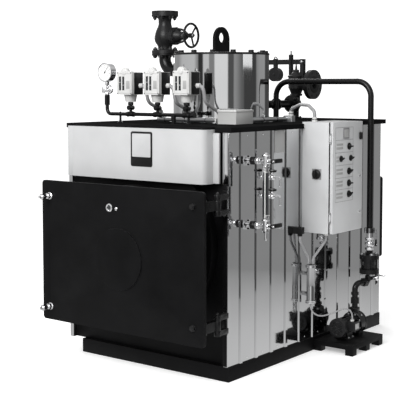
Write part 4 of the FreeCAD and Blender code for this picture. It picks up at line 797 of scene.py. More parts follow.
@dataclass
class Studio:
    """Camera, floor and soft lights."""

    eye: Point = (4.426, -6.123, 1.856)
    heading: tuple[float, float] = (-0.607, 0.794)
    focal: float = 1029.0
    picture: float = 410.0
    horizon: float = 86.0
    shift: float = -0.12
    floor_radius: float = 3.6
    mirror_fade: tuple[float, float, float, float] = (0.9, 3.6, 0.95, 0.45)
    floor_sides: int = 96
    sensor: float = 36.0
    aim: Point = (0.0, 0.0, 1.0)
    key: tuple[Point, float, float] = ((1.0, -6.5, 4.8), 4.0, 480.0)
    side: tuple[Point, float, float] = ((6.0, 1.0, 3.5), 3.0, 30.0)
    back: tuple[Point, float, float] = ((-5.0, 4.0, 4.0), 4.0, 220.0)
    room_strength: float = 0.75
    backdrop_strength: float = 1.3
    ceiling: tuple[float, float] = (0.25, 0.9)

    def camera(self) -> None:
        """Put the camera at its place, tilted down as far as its shift leaves to do."""
        data = bpy.data.cameras.new("camera")
        data.sensor_width = self.sensor
        data.lens = self.focal / self.picture * data.sensor_width
        data.shift_y = self.shift
        middle = self.picture / 2 + self.shift * self.picture
        drop = (middle - self.horizon) / self.focal
        thing = bpy.data.objects.new("camera", data)
        thing.location = self.eye
        look = Vector((*self.heading, 0.0)).normalized() + DOWN * drop
        thing.rotation_euler = look.to_track_quat("-Z", "Y").to_euler()
        bpy.context.scene.collection.objects.link(thing)
        bpy.context.scene.camera = thing

    def floor(self, palette: Palette) -> None:
        """Make the plain pale round floor.

        Args:
            palette: The materials.
        """
        mesh = bmesh.new()
        bmesh.ops.create_circle(mesh, cap_ends=True, segments=self.floor_sides, radius=self.floor_radius)
        data = bpy.data.meshes.new("floor")
        mesh.to_mesh(data)
        mesh.free()
        thing = bpy.data.objects.new("floor", data)
        bpy.context.scene.collection.objects.link(thing)
        thing.data.materials.append(self.mirrored_grey(palette.materials[FLOOR]))

    def mirrored_grey(self, material: bpy.types.Material) -> bpy.types.Material:
        """Let bright metal see the floor as soft grey that fades towards the rim.

        Args:
            material: The floor's own material.

        Returns:
            The same material.
        """
        tree = Tree(material.node_tree)
        out = next(node for node in material.node_tree.nodes if node.bl_idname == "ShaderNodeOutputMaterial")
        lit = out.inputs["Surface"].links[0].from_socket
        reach = tree.add("ShaderNodeVectorMath", operation="LENGTH")
        tree.join(tree.add("ShaderNodeTexCoord").outputs["Object"], reach.inputs[0])
        fade = tree.ramp(reach.outputs["Value"], *self.mirror_fade)
        grey = tree.add("ShaderNodeEmission")
        tree.join(fade.outputs[0], grey.inputs["Strength"])
        blend = tree.add("ShaderNodeMixShader")
        tree.join(tree.add("ShaderNodeLightPath").outputs["Is Glossy Ray"], blend.inputs[0])
        tree.join(lit, blend.inputs[1])
        tree.join(grey.outputs[0], blend.inputs[2])
        tree.join(blend.outputs[0], out.inputs["Surface"])
        return material

    def lamp(self, name: str, place: Point, size: float, power: float) -> None:
        """Add a soft square light that faces the boiler's middle.

        Args:
            name: Its name.
            place: Where it stands.
            size: Side of the square.
            power: Watts.
        """
        data = bpy.data.lights.new(name, "AREA")
        data.shape = "SQUARE"
        data.size = size
        data.energy = power
        thing = bpy.data.objects.new(name, data)
        thing.location = place
        aim = Vector(self.aim) - Vector(place)
        thing.rotation_euler = aim.to_track_quat("-Z", "Y").to_euler()
        bpy.context.scene.collection.objects.link(thing)

    def sky(self) -> None:
        """Pale surroundings, with soft darker zones round the sides for bright metal to reflect."""
        world = bpy.data.worlds.new("studio")
        bpy.context.scene.world = world
        bpy.context.scene.view_settings.view_transform = "Standard"
        world.use_nodes = True
        tree = Tree(world.node_tree)
        world.node_tree.nodes.clear()
        direction = tree.add("ShaderNodeTexCoord").outputs["Generated"]
        parts = tree.add("ShaderNodeSeparateXYZ")
        tree.join(direction, parts.inputs[0])
        turn = tree.sums("ARCTAN2", parts.outputs["Y"], parts.outputs["X"])
        bands = tree.add("ShaderNodeValToRGB")
        whole = tree.ramp(turn.outputs[0], -math.pi, math.pi)
        tree.join(whole.outputs[0], bands.inputs[0])
        ramp = bands.color_ramp
        ramp.interpolation = "EASE"
        ramp.elements[0].position, ramp.elements[1].position = BANDS[0][0], BANDS[-1][0]
        for position, _ in BANDS[1:-1]:
            ramp.elements.new(position)
        for element, (_, value) in zip(ramp.elements, BANDS):
            element.color = (value, value, value, 1.0)
        lift = tree.ramp(parts.outputs["Z"], *self.ceiling)
        dome = tree.mixed(lift.outputs[0], bands.outputs[0], (1.0, 1.0, 1.0))
        room = tree.add("ShaderNodeBackground")
        room.inputs["Strength"].default_value = self.room_strength
        tree.join(dome.outputs[2], room.inputs["Color"])
        plain = tree.add("ShaderNodeBackground")
        plain.inputs["Color"].default_value = (1.0, 1.0, 1.0, 1.0)
        plain.inputs["Strength"].default_value = self.backdrop_strength
        seen = tree.add("ShaderNodeLightPath").outputs["Is Camera Ray"]
        blend = tree.add("ShaderNodeMixShader")
        tree.join(seen, blend.inputs[0])
        tree.join(room.outputs[0], blend.inputs[1])
        tree.join(plain.outputs[0], blend.inputs[2])
        tree.join(blend.outputs[0], tree.add("ShaderNodeOutputWorld").inputs["Surface"])

    def build(self, palette: Palette) -> None:
        """Make the floor, the surroundings and the lights.

        Args:
            palette: The materials.
        """
        self.floor(palette)
        self.sky()
        self.lamp("key_light", *self.key)
        self.lamp("side_light", *self.side)
        self.lamp("back_light", *self.back)


# ---------- frame nodes that keep their shape

@dataclass(frozen=True)
class Dress:
    """Finish and edge width of some frame nodes."""

    finish: Finish
    nodes: tuple[str, ...]
    bevel: float = 0.0

    def wear(self, palette: Palette) -> None:
        """Give the nodes their finish, merged corners and softened edges.

        Args:
            palette: The materials.
        """
        for name in self.nodes:
            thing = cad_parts[name]
            thing.data.shade_smooth()
            weld = thing.modifiers.new("merge", "WELD")
            weld.merge_threshold = 0.00001
            if self.bevel:
                soft = thing.modifiers.new("soft_edges", "BEVEL")
                soft.width = self.bevel
                soft.segments = 2
                soft.limit_method = "ANGLE"
                soft.angle_limit = math.radians(40)
            split = thing.modifiers.new("crisp_edges", "EDGE_SPLIT")
            split.split_angle = SMOOTH_ANGLE
            palette.paint(thing, self.finish)
            log.info("%s: %s", name, self.finish.name)


DRESSES = (
    Dress(BLACK, ("skid_base", "casing_front_sheet", "vessel_end_plate", "door_landing_ring", "front_door",
                  "pump_platform", "rear_smoke_box", "lifting_eye"), 0.002),
    Dress(BLACK, ("door_clamp_posts", "flue_spigot")),
    Dress(TOP_BLACK, ("casing_top_plate",), 0.003),
    Dress(STAINLESS, ("casing_panel_right", "casing_panel_left", "casing_panel_rear")),
    Dress(STAINLESS, ("cable_conduit",), 0.0015),
    Dress(DOME_SHEET, ("steam_dome",)),
    Dress(HOOD, ("front_hood",)),
    Dress(PIPE_BLACK, ("door_hinge_brackets", "door_hinge_arms"), 0.002),
    Dress(ZINC, ("furnace_tube", "top_conduits", "panel_hinges")),
    Dress(CHROME,
          ("feed_stop_valve", "level_gauge_cocks", "level_gauge_column", "test_cocks", "pressure_gauge",
                   "door_clamp_bolts")),
    Dress(CASTING, ("steam_outlet_flange", "safety_valve_body", "safety_lever")),
    Dress(PIPE_BLACK, ("steam_outlet_elbow", "steam_valve_handwheel", "safety_branch", "feed_pipe",
                       "feed_check_valve", "feed_lower_pipe", "pump_casing", "pressure_manifold")),
    Dress(BOX_GREY, ("control_box", "panel_door"), 0.0015),
    Dress(WHITE, ("junction_box",), 0.0015),
    Dress(MOTOR, ("motor_terminal_box",)),
    Dress(WHITE, ("pressure_switch_left", "pressure_switch_middle", "pressure_switch_right")),
    Dress(PLASTIC, ("feed_valve_lever", "gauge_lever_lower", "gauge_lever_upper", "casing_gland")),
    Dress(SHEATH, ("control_cables", "flexible_conduits")),
    Dress(BOARD, ("door_insulation",), 0.004),
)


# ---------- pump cable

@dataclass
class PumpCable:
    """The free cable from the conduit's foot to the motor's gland."""

    diameter: float = 0.011
    length: float = 0.431

    def route(self) -> list[Point]:
        """Control points, from the conduit to the gland."""
        return [
            (0.745, -0.111, 0.363), (0.745, -0.111, 0.333), (0.7531, -0.0971, 0.2986),
            (0.7697, -0.0681, 0.2727), (0.7924, -0.0315, 0.2636), (0.8211, 0.0084, 0.2723),
            (0.8561, 0.0519, 0.2889), (0.8885, 0.0918, 0.3077), (0.9067, 0.1153, 0.3038),
            (0.9218, 0.1347, 0.2872), (0.93, 0.146, 0.261), (0.93, 0.146, 0.23),]

    def build(self, palette: Palette) -> None:
        """Make the cable as one smooth spline.

        Args:
            palette: The materials.
        """
        points = self.route()
        cable = smooth_bar("pump_cable_sheath", points, self.diameter / 2, 12, 5)
        palette.paint(cable, SHEATH)
        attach(cable, "boiler")
        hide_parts("pump_cable")
        log.info("pump_cable_sheath: %d points", len(points))


# ---------- casing, hood and door

@dataclass
class Assembly:
    """Sub-assembly whose pieces share one palette."""

    palette: Palette

    def done(self, shape: Shape, finish: Finish, body: str = "boiler",
             replaces: Sequence[str] = ()) -> bpy.types.Object:
        """Place a finished shape on its body.

        Args:
            shape: The piece.
            finish: Its finish.
            body: Body that it moves with.
            replaces: Frame nodes that it stands for.

        Returns:
            The new object.
        """
        return shape.place(body, self.palette, finish, replaces)


@dataclass
class CasingTrim(Assembly):
    """Screws, bare plate and badge of the casing and hood."""

    badge_x: float = 0.079
    badge_z: float = 1.45
    badge_width: float = 0.182
    badge_height: float = 0.226
    badge_border: float = 0.013
    badge_band: float = 0.062
    cover_proud: float = 0.0015
    hem: float = 0.004
    screw: float = 0.009
    flange_wide: float = 0.046
    flange_deep: float = 0.018
    strip_width: float = 0.046
    strip_bare: float = 0.013
    plate_y: float = -0.42
    plate_z: float = 1.49
    badge_thick: float = 0.003
    badge_corner: float = 0.014
    field_corner: float = 0.006
    soft: float = 0.0008
    hood_corner: float = 0.046
    cover_depth: float = 0.013
    cover_reach: float = 0.17
    plate_half: tuple[float, float] = (0.06, 0.075)
    rivet_half: tuple[float, float] = (0.053, 0.068)
    plate_thick: float = 0.003
    rib_depth: float = 0.008
    first_screw: float = 0.21
    panel_pitch: float = 0.175
    side_inset: float = 0.022
    rear_screws: int = 9
    rear_pitch: float = 0.155
    rear_inset: float = 0.025
    joint_half: float = 0.02

    def badge(self) -> None:
        """Bare badge: dark frame, pale square and a dark band below it."""
        low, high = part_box("front_hood")
        face = low.y
        left, right = self.badge_x - self.badge_width / 2, self.badge_x + self.badge_width / 2
        bottom, top = self.badge_z - self.badge_height / 2, self.badge_z + self.badge_height / 2
        back = Shape("badge_frame")
        back.plate(
            (left, face - self.badge_thick, bottom), (right, face, top), BACK, self.badge_corner, self.soft)
        self.done(back, PLASTIC)
        field = Shape("badge_field")
        border = self.badge_border
        field.plate((left + border, face - 1.5 * self.badge_thick, bottom + self.badge_band),
                    (right - border, face - 0.002, top - border), BACK, self.field_corner, 0.0005)
        self.done(field, HOOD)
        hem = Shape("hood_hem")
        span = high.x - self.hood_corner
        hem.rod((-span, face + self.hem, low.z + self.hem), RIGHT, 2 * span, self.hem, sides=12)
        self.done(hem, HOOD)
        cover = Shape("hood_cover")
        cover.plate(
            (low.x - self.cover_proud, face - self.cover_proud, high.z - self.cover_depth),
            (high.x + self.cover_proud, low.y + self.cover_reach, high.z + self.cover_proud), UP,
            self.hood_corner, self.soft)
        cover.block((low.x - self.cover_proud, face - self.cover_proud, high.z - self.cover_depth),
                    (low.x + 0.05, face + 0.05, high.z + self.cover_proud), self.soft)
        self.done(cover, TOP_BLACK)
        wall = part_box("casing_panel_right")[0].y - 0.001
        flange = Shape("hood_side_flange")
        flange.block((high.x - 0.002, wall - self.flange_deep, low.z + 0.002),
                     (high.x + self.flange_wide, wall, high.z - 0.036), 0.0015)
        self.done(flange, HOOD)
        corner = Shape("hood_square_corner")
        corner.block((low.x, face, low.z),
                     (low.x + self.hood_corner, face + self.hood_corner, high.z - 0.012), 0.0015)
        self.done(corner, HOOD)

    def data_plate(self) -> None:
        """Bare data plate and its rivets on the right side."""
        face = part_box("casing_panel_right")[1].x - self.rib_depth
        plate = Shape("data_plate")
        wide, tall = self.plate_half
        plate.block((face, self.plate_y - wide, self.plate_z - tall),
                    (face + self.plate_thick, self.plate_y + wide, self.plate_z + tall), 0.001)
        self.done(plate, LABEL)
        rivets = Shape("data_plate_rivets")
        across, up = self.rivet_half
        for side in (-across, across):
            for height in (-up, up):
                spot = (face + self.plate_thick, self.plate_y + side, self.plate_z + height)
                rivets.turned(spot, RIGHT, self._head())
        self.done(rivets, CHROME)

    def corner_strip(self) -> None:
        """Bright cover on the front edge of the right side panel, with a black strip of painted shade below
        the hood's hem.
        """
        low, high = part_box("casing_panel_right")
        cover = Shape("corner_strip_cover")
        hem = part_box("front_hood")[0].z
        cover.block((high.x - self.strip_width, low.y - 0.0008, hem),
                    (high.x - 0.0005, low.y + 0.0005, high.z - 0.002), 0.0004)
        self.done(cover, CHROME)
        # Below the hood's hem most of the strip's width is covered in black: painted shade, leaving a narrow
        # bright edge.
        shade = Shape("corner_strip_painted_shade")
        shade.block((high.x - self.strip_width, low.y - 0.0008, low.z + 0.002),
                    (high.x - self.strip_bare, low.y + 0.0005, hem), 0.0004)
        self.done(shade, BLACK)

    def screws(self) -> None:
        """Pan-head screws along the edges of the side and rear panels."""
        low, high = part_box("casing_panel_right")
        heads = Shape("casing_screws")
        flat = high.x - self.rib_depth
        place = low.y + self.first_screw
        while place < high.y:
            for height in (low.z + self.side_inset, high.z - self.side_inset):
                for side, axis in ((flat, RIGHT), (-flat, LEFT)):
                    heads.turned((side, place, height), axis, self._head())
            place += self.panel_pitch
        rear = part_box("casing_panel_rear")[1]
        for step in range(self.rear_screws):
            across = (step - self.rear_screws // 2) * self.rear_pitch
            for height in (low.z + self.rear_inset, high.z - self.rear_inset):
                heads.turned((across, rear.y, height), BACK, self._head())
        self.done(heads, CHROME)

    def _head(self) -> list[tuple[float, float]]:
        """Outline of a low domed screw head."""
        radius = self.screw / 2
        return [(0.0, 0.0), (radius, 0.0), (radius, 0.001), (radius * 0.7, 0.0024), (0.0, 0.0029)]

    def seams(self) -> None:
        """Cover strip over the joint of the rear wall."""
        low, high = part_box("casing_panel_rear")
        strip = Shape("rear_wall_joint")
        strip.block((-self.joint_half, high.y, low.z + 0.04),
                    (self.joint_half, high.y + 0.004, high.z - 0.04), 0.0015)
        self.done(strip, STAINLESS)

    def build(self) -> None:
        """Make every piece."""
        self.badge()
        self.data_plate()
        self.corner_strip()
        self.screws()
        self.seams()


@dataclass
class DoorTrim(Assembly):
    """Sight glass, bolts and seal of the front door, and the tube ends behind it."""

    sight_x: float = -0.073
    sight_z: float = 1.073
    sight_radius: float = 0.027
    pad_x: float = 0.612
    seal_radius: float = 0.4625
    seal_thickness: float = 0.011
    tube_radius: float = 0.03
    screw_shift: float = 0.058
    pad_bolt: float = 0.034
    pad_height: float = 0.08
    stud: float = 0.018
    blank_radius: float = 0.2
    anchor: float = 0.03
    anchor_radius: float = 0.32
    foot_bolt: float = 0.02
    foot_place: tuple[float, float] = (0.668, -1.01)
    foot_shifts: tuple[float, float] = (0.016, 0.13)
    tube_rows: tuple[tuple[float, int], ...] = ((0.305, 18), (0.39, 24))
    lowest_tube: float = -0.35
    furnace_rim: float = 0.236
    ring_outline: Outline = ((0.0, 0.0), (0.011, 0.0), (0.011, 0.006), (0.006, 0.009), (0.0, 0.01))

    def face(self) -> None:
        """What stands on the door's front."""
        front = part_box("front_door")[0].y + 0.012
        ring = Shape("sight_glass_ring")
        size = self.sight_radius
        ring.turned(
            (self.sight_x, front, self.sight_z), FRONT, [(size * 0.6, 0.0), (size, 0.0), (size, 0.008),
            (size * 0.9, 0.011), (size * 0.68, 0.011), (size * 0.6, 0.008), (size * 0.6, 0.0)])
        ring.turned(
            (self.sight_x + self.screw_shift, front, self.sight_z - 0.004), FRONT, self.ring_outline)
        self.done(ring, CHROME, "front_door")
        pane = Shape("sight_glass_pane")
        pane.rod((self.sight_x, front - 0.001, self.sight_z), FRONT, 0.004, size * 0.61)
        self.done(pane, DARK_GLASS, "front_door")
        bolts = Shape("door_pad_bolts")
        for low, high in self._pads():
            middle = (low + high) / 2
            bolts.bolt((self.pad_x, front, middle), FRONT, self.pad_bolt)
            for height in (low + 0.014, high - 0.014):
                bolts.bolt((self.pad_x, front + 0.034, height), BACK, self.stud)
        self.done(bolts, PIPE_BLACK, "front_door")
        rim = Shape("burner_blank_rim")
        middle = (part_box("front_door")[0].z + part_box("front_door")[1].z) / 2
        rim.ring((0.0, front, middle), FRONT, self.blank_radius, 0.0025, 64, 8)
        self.done(rim, BLACK, "front_door")

    def _pads(self) -> list[tuple[float, float]]:
        """Lowest and highest point of each hinge pad."""
        low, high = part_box("door_hinge_arms")
        return [(low.z, low.z + self.pad_height), (high.z - self.pad_height, high.z)]

    def back(self) -> None:
        """Seal rope and anchor washers on the door's back."""
        drum_low, drum_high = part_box("door_insulation")
        middle = (drum_low.z + drum_high.z) / 2
        rope = Shape("door_seal_rope")
        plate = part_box("front_door")[1].y
        rope.ring((0.0, plate + self.seal_thickness * 0.9, middle), BACK, self.seal_radius,
                  self.seal_thickness, 96, 12)
        self.done(rope, BOARD, "front_door")
        washers = Shape("insulation_anchors")
        washers.bolt_circle((0.0, drum_high.y, middle), BACK, self.anchor_radius, 8, self.anchor)
        washers.bolt((0.0, drum_high.y, middle), BACK, self.anchor)
        self.done(washers, ZINC, "front_door")

    def hinges(self) -> None:
        """Bright caps and foot bolts of the hinges."""
        low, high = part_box("door_hinge_brackets")
        caps = Shape("hinge_foot_bolts")
        for base in (low.z, high.z):
            for shift in self.foot_shifts:
                height = base + shift if base == low.z else base - shift - self.foot_bolt
                caps.bolt((*self.foot_place, height), FRONT, self.foot_bolt)
        self.done(caps, ZINC)

    def tube_ends(self) -> None:
        """Smoke-tube ends round the furnace on the end plate, each mouth a flat dark disc of soot and
        painted shade standing for the hollow tube.
        """
        low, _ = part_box("vessel_end_plate")
        centre_z = (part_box("furnace_tube")[0].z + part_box("furnace_tube")[1].z) / 2
        rims = Shape("smoke_tube_rims")
        mouths = Shape("smoke_tube_mouths")
        wide = self.tube_radius
        for radius, count in self.tube_rows:
            for step in range(count):
                angle = 2 * math.pi * step / count
                if math.sin(angle) < self.lowest_tube:
                    continue
                spot = (radius * math.cos(angle), low.y, centre_z + radius * math.sin(angle))
                rims.turned(
                    spot, FRONT, [(wide * 0.84, 0.0), (wide * 0.84, 0.006), (wide, 0.006),
                    (wide * 1.12, 0.0)], 24)
                # Flat dark disc over the bore: soot and painted shade in place of the tube's hollow.
                mouths.rod(spot, FRONT, 0.0015, wide * 0.85, sides=24)
        rims.ring((0.0, low.y, centre_z), FRONT, self.furnace_rim, 0.006, 64, 8)
        self.done(rims, ZINC)
        self.done(mouths, SOOT_AND_SHADE)

    def build(self) -> None:
        """Make every piece."""
        self.face()
        self.back()
        self.hinges()
        self.tube_ends()


# ---------- dome and main steam valve

@dataclass
class DomeTrim(Assembly):
    """Cover bolts, flashing and seam of the steam dome."""

    bolt_count: int = 14
    bolt_across: float = 0.034

    def build(self) -> None:
        """Make every piece."""
        low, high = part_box("steam_dome")
        middle = (low + high) / 2
        radius = (high.x - low.x) / 2
        bolts = Shape("dome_cover_bolts")
        bolts.bolt_circle((middle.x, middle.y, high.z), UP, radius - 0.026, self.bolt_count,
            self.bolt_across)
        self.done(bolts, PIPE_BLACK)
        flashing = Shape("dome_flashing")
        flashing.turned(
            (middle.x, middle.y, low.z), UP, [(radius, 0.0), (radius + 0.035, 0.0), (radius + 0.035, 0.003),
            (radius + 0.004, 0.006), (radius + 0.003, 0.028), (radius, 0.028)], 96)
        self.done(flashing, STAINLESS)
        cover = Shape("dome_cover_edge")
        cover.turned(
            (middle.x, middle.y, high.z - 0.015), UP, [(radius - 0.001, 0.0), (radius + 0.002, 0.001),
            (radius + 0.002, 0.014), (radius - 0.001, 0.0152), (radius - 0.06, 0.0152)], 96)
        self.done(cover, PIPE_BLACK)
        weld = Shape("lifting_eye_weld")
        eye_low, eye_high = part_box("lifting_eye")
        weld.swept(
            [(eye_high.x, eye_low.y, eye_low.z), (eye_high.x, (eye_low.y + eye_high.y) / 2, eye_low.z),
            (eye_high.x, eye_high.y, eye_low.z)], 0.006)
        weld.swept([(eye_low.x, eye_low.y, eye_low.z), (eye_low.x, (eye_low.y + eye_high.y) / 2, eye_low.z),
                    (eye_low.x, eye_high.y, eye_low.z)], 0.006)
        self.done(weld, BLACK)


@dataclass
class SteamValveTrim(Assembly):
    """Globe valve casting with its bolts, in place of the plain body."""

    bolt_across: float = 0.026
    bolt_circle: float = 0.08
    axis_rise: float = 0.123
    casting_outline_1: Outline = (
        (0.0, 0.0), (0.1, 0.0), (0.1, 0.018), (0.098, 0.02), (0.066, 0.021), (0.054, 0.03), (0.052, 0.045),
        (0.06, 0.062), (0.072, 0.088), (0.077, 0.115), (0.075, 0.14), (0.066, 0.168), (0.053, 0.195),
        (0.048, 0.215), (0.049, 0.248), (0.058, 0.264), (0.098, 0.27), (0.1, 0.272), (0.1, 0.29),
        (0.0, 0.29))
    casting_outline_2: Outline = (
        (0.0, 0.03), (0.056, 0.03), (0.052, 0.062), (0.054, 0.078), (0.064, 0.084), (0.066, 0.087),
        (0.066, 0.098), (0.062, 0.1), (0.062, 0.102), (0.066, 0.104), (0.066, 0.113), (0.05, 0.117),
        (0.047, 0.128), (0.036, 0.15), (0.03, 0.165), (0.03, 0.172), (0.0, 0.172))
    casting_outline_3: Outline = (
        (0.0, 0.19), (0.022, 0.19), (0.026, 0.195), (0.026, 0.208), (0.022, 0.2115), (0.0, 0.2115))
    gland_outline: Outline = (
        (0.0, 0.0), (0.02, 0.0), (0.02, 0.008), (0.014, 0.011), (0.014, 0.018), (0.0, 0.018))

    def build(self) -> None:
        """Make every piece."""
        low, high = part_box("steam_valve_body")
        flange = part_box("steam_outlet_flange")
        x = (flange[0].x + flange[1].x) / 2
        y = (flange[0].y + flange[1].y) / 2
        axis_z = low.z + self.axis_rise
        casting = Shape("steam_valve_casting")
        casting.turned((x, y, low.z), UP, self.casting_outline_1, 48)
        casting.ball((x - 0.01, y, axis_z - 0.012), 0.072, 32)
        casting.turned((x, y, axis_z), RIGHT, self.casting_outline_2, 40)
        for side in (-1, 1):
            casting.swept(
                [(x + 0.118, y, axis_z + side * 0.05), (x + 0.15, y, axis_z + side * 0.05),
                (x + 0.19, y, axis_z + side * 0.036), (x + 0.205, y, axis_z + side * 0.018)], 0.0085)
        casting.turned((x, y, axis_z), RIGHT, self.casting_outline_3, 28)
        casting.rod((x + 0.165, y, axis_z), RIGHT, 0.03, 0.011, sides=20)
        self.done(casting, CASTING, replaces=("steam_valve_body",))
        bolts = Shape("steam_valve_bolts")
        bolts.bolt_circle((x, y, low.z + 0.02), UP, self.bolt_circle, 8, self.bolt_across, 0.008)
        bolts.bolt_circle((x, y, low.z - 0.02), DOWN, self.bolt_circle, 8, self.bolt_across, 0.006)
        bolts.bolt_circle((x, y, low.z + 0.27), DOWN, self.bolt_circle, 8, self.bolt_across, 0.012)
        bolts.bolt_circle((x + 0.113, y, axis_z), RIGHT, 0.056, 6, 0.014, 0.004)
        bolts.bolt_circle((x + 0.087, y, axis_z), LEFT, 0.059, 6, 0.011)
        self.done(bolts, CASTING)
        gland = Shape("steam_valve_gland")
        gland.turned((x + 0.172, y, axis_z), RIGHT, self.gland_outline, 24)
        self.done(gland, ZINC)
        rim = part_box("steam_valve_handwheel")[1]
        nut = Shape("handwheel_nut")
        nut.bolt((rim.x - 0.012, y, axis_z), RIGHT, 0.02)
        self.done(nut, ZINC, "steam_wheel")


# ---------- relief valve

@dataclass
class ReliefTrim(Assembly):
    """Bolts, collars and lever fittings of the safety valve."""

    axis_y: float = 0.865
    outlet_z: float = 1.868
    flange_x: float = 0.134
    flange_bolts: float = 0.095
    branch_z: float = 1.715
    branch_length: float = 0.076
    branch_bolts: float = 0.054
    weight_x: float = -0.196
    weight_z: float = 1.948
    face_outline: Outline = (
        (0.036, -0.002), (0.066, -0.002), (0.066, 0.002), (0.062, 0.003), (0.036, 0.003), (0.036, -0.002))
    collars_outline_1: Outline = (
        (0.0, 0.0), (0.046, 0.0), (0.05, 0.004), (0.05, 0.014), (0.046, 0.018), (0.0, 0.018))
    collars_outline_2: Outline = ((0.061, 0.0), (0.068, 0.003), (0.068, 0.014), (0.061, 0.018))
    collars_outline_3: Outline = ((0.0, 0.0), (0.012, 0.0), (0.012, 0.008), (0.005, 0.012), (0.0, 0.012))
    ends_outline: Outline = ((0.0, 0.0), (0.011, 0.0), (0.011, 0.004), (0.006, 0.006), (0.0, 0.006))
    trim_outline: Outline = ((0.046, 0.0), (0.0545, 0.001), (0.0545, 0.003), (0.046, 0.004))

    def build(self) -> None:
        """Make every piece."""
        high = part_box("safety_valve_body")[1]
        y = self.axis_y
        outlet_z, branch_z = self.outlet_z, self.branch_z
        bolts = Shape("relief_valve_bolts")
        bolts.bolt_circle((self.flange_x, y, outlet_z), LEFT, self.flange_bolts, 8, 0.022, 0.004)
        branch_face = y - self.branch_length
        bolts.bolt_circle((0.0, branch_face + 0.036, branch_z), BACK, self.branch_bolts, 4, 0.022, 0.005)
        bolts.bolt_circle((0.0, branch_face, branch_z), FRONT, self.branch_bolts, 4, 0.022, 0.005)
        bolts.bolt_circle((0.0, y, 1.61), UP, 0.036, 4, 0.012)
        self.done(bolts, CASTING)
        face = Shape("relief_outlet_face")
        face.turned((high.x, y, outlet_z), RIGHT, self.face_outline, 48)
        # Thin dark discs at the bolt circle: painted shade standing for the open bolt holes.
        for step in range(8):
            angle = 2 * math.pi * (step + 0.5) / 8
            spot = (high.x, y + self.flange_bolts * math.cos(angle),
                    outlet_z + self.flange_bolts * math.sin(angle))
            face.rod(spot, RIGHT, 0.0006, 0.0095, sides=20)
        self.done(face, SOOT_AND_SHADE)
        collars = Shape("relief_valve_collars")
        collars.turned((0.0, y, 1.777), UP, self.collars_outline_1, 36)
        collars.turned((0.0, y, 1.924), UP, self.collars_outline_2, 40)
        collars.hexagon((0.0, y, 1.966), UP, 0.02, 0.024, 0.002)
        collars.turned((-0.049, y, 2.098), UP, self.collars_outline_3, 20)
        self.done(collars, CASTING)
        pin = Shape("relief_lever_pin_ends")
        for side, axis in ((-0.021, FRONT), (0.021, BACK)):
            pin.turned((0.061, y + side, 2.048), axis, self.ends_outline, 20)
        self.done(pin, ZINC)
        weight = Shape("relief_weight_trim")
        centre = (self.weight_x, y, self.weight_z)
        for side in (-0.03, 0.026):
            weight.turned((centre[0], centre[1] + side, centre[2]), BACK, self.trim_outline, 40)
        weight.hexagon((centre[0], y - 0.034, centre[2]), BACK, 0.068, 0.012, 0.002)
        weight.ring((centre[0], y, 2.077), BACK, 0.013, 0.004, 20, 8)
        self.done(weight, CASTING, "relief_lever")


# ---------- feed line and pump

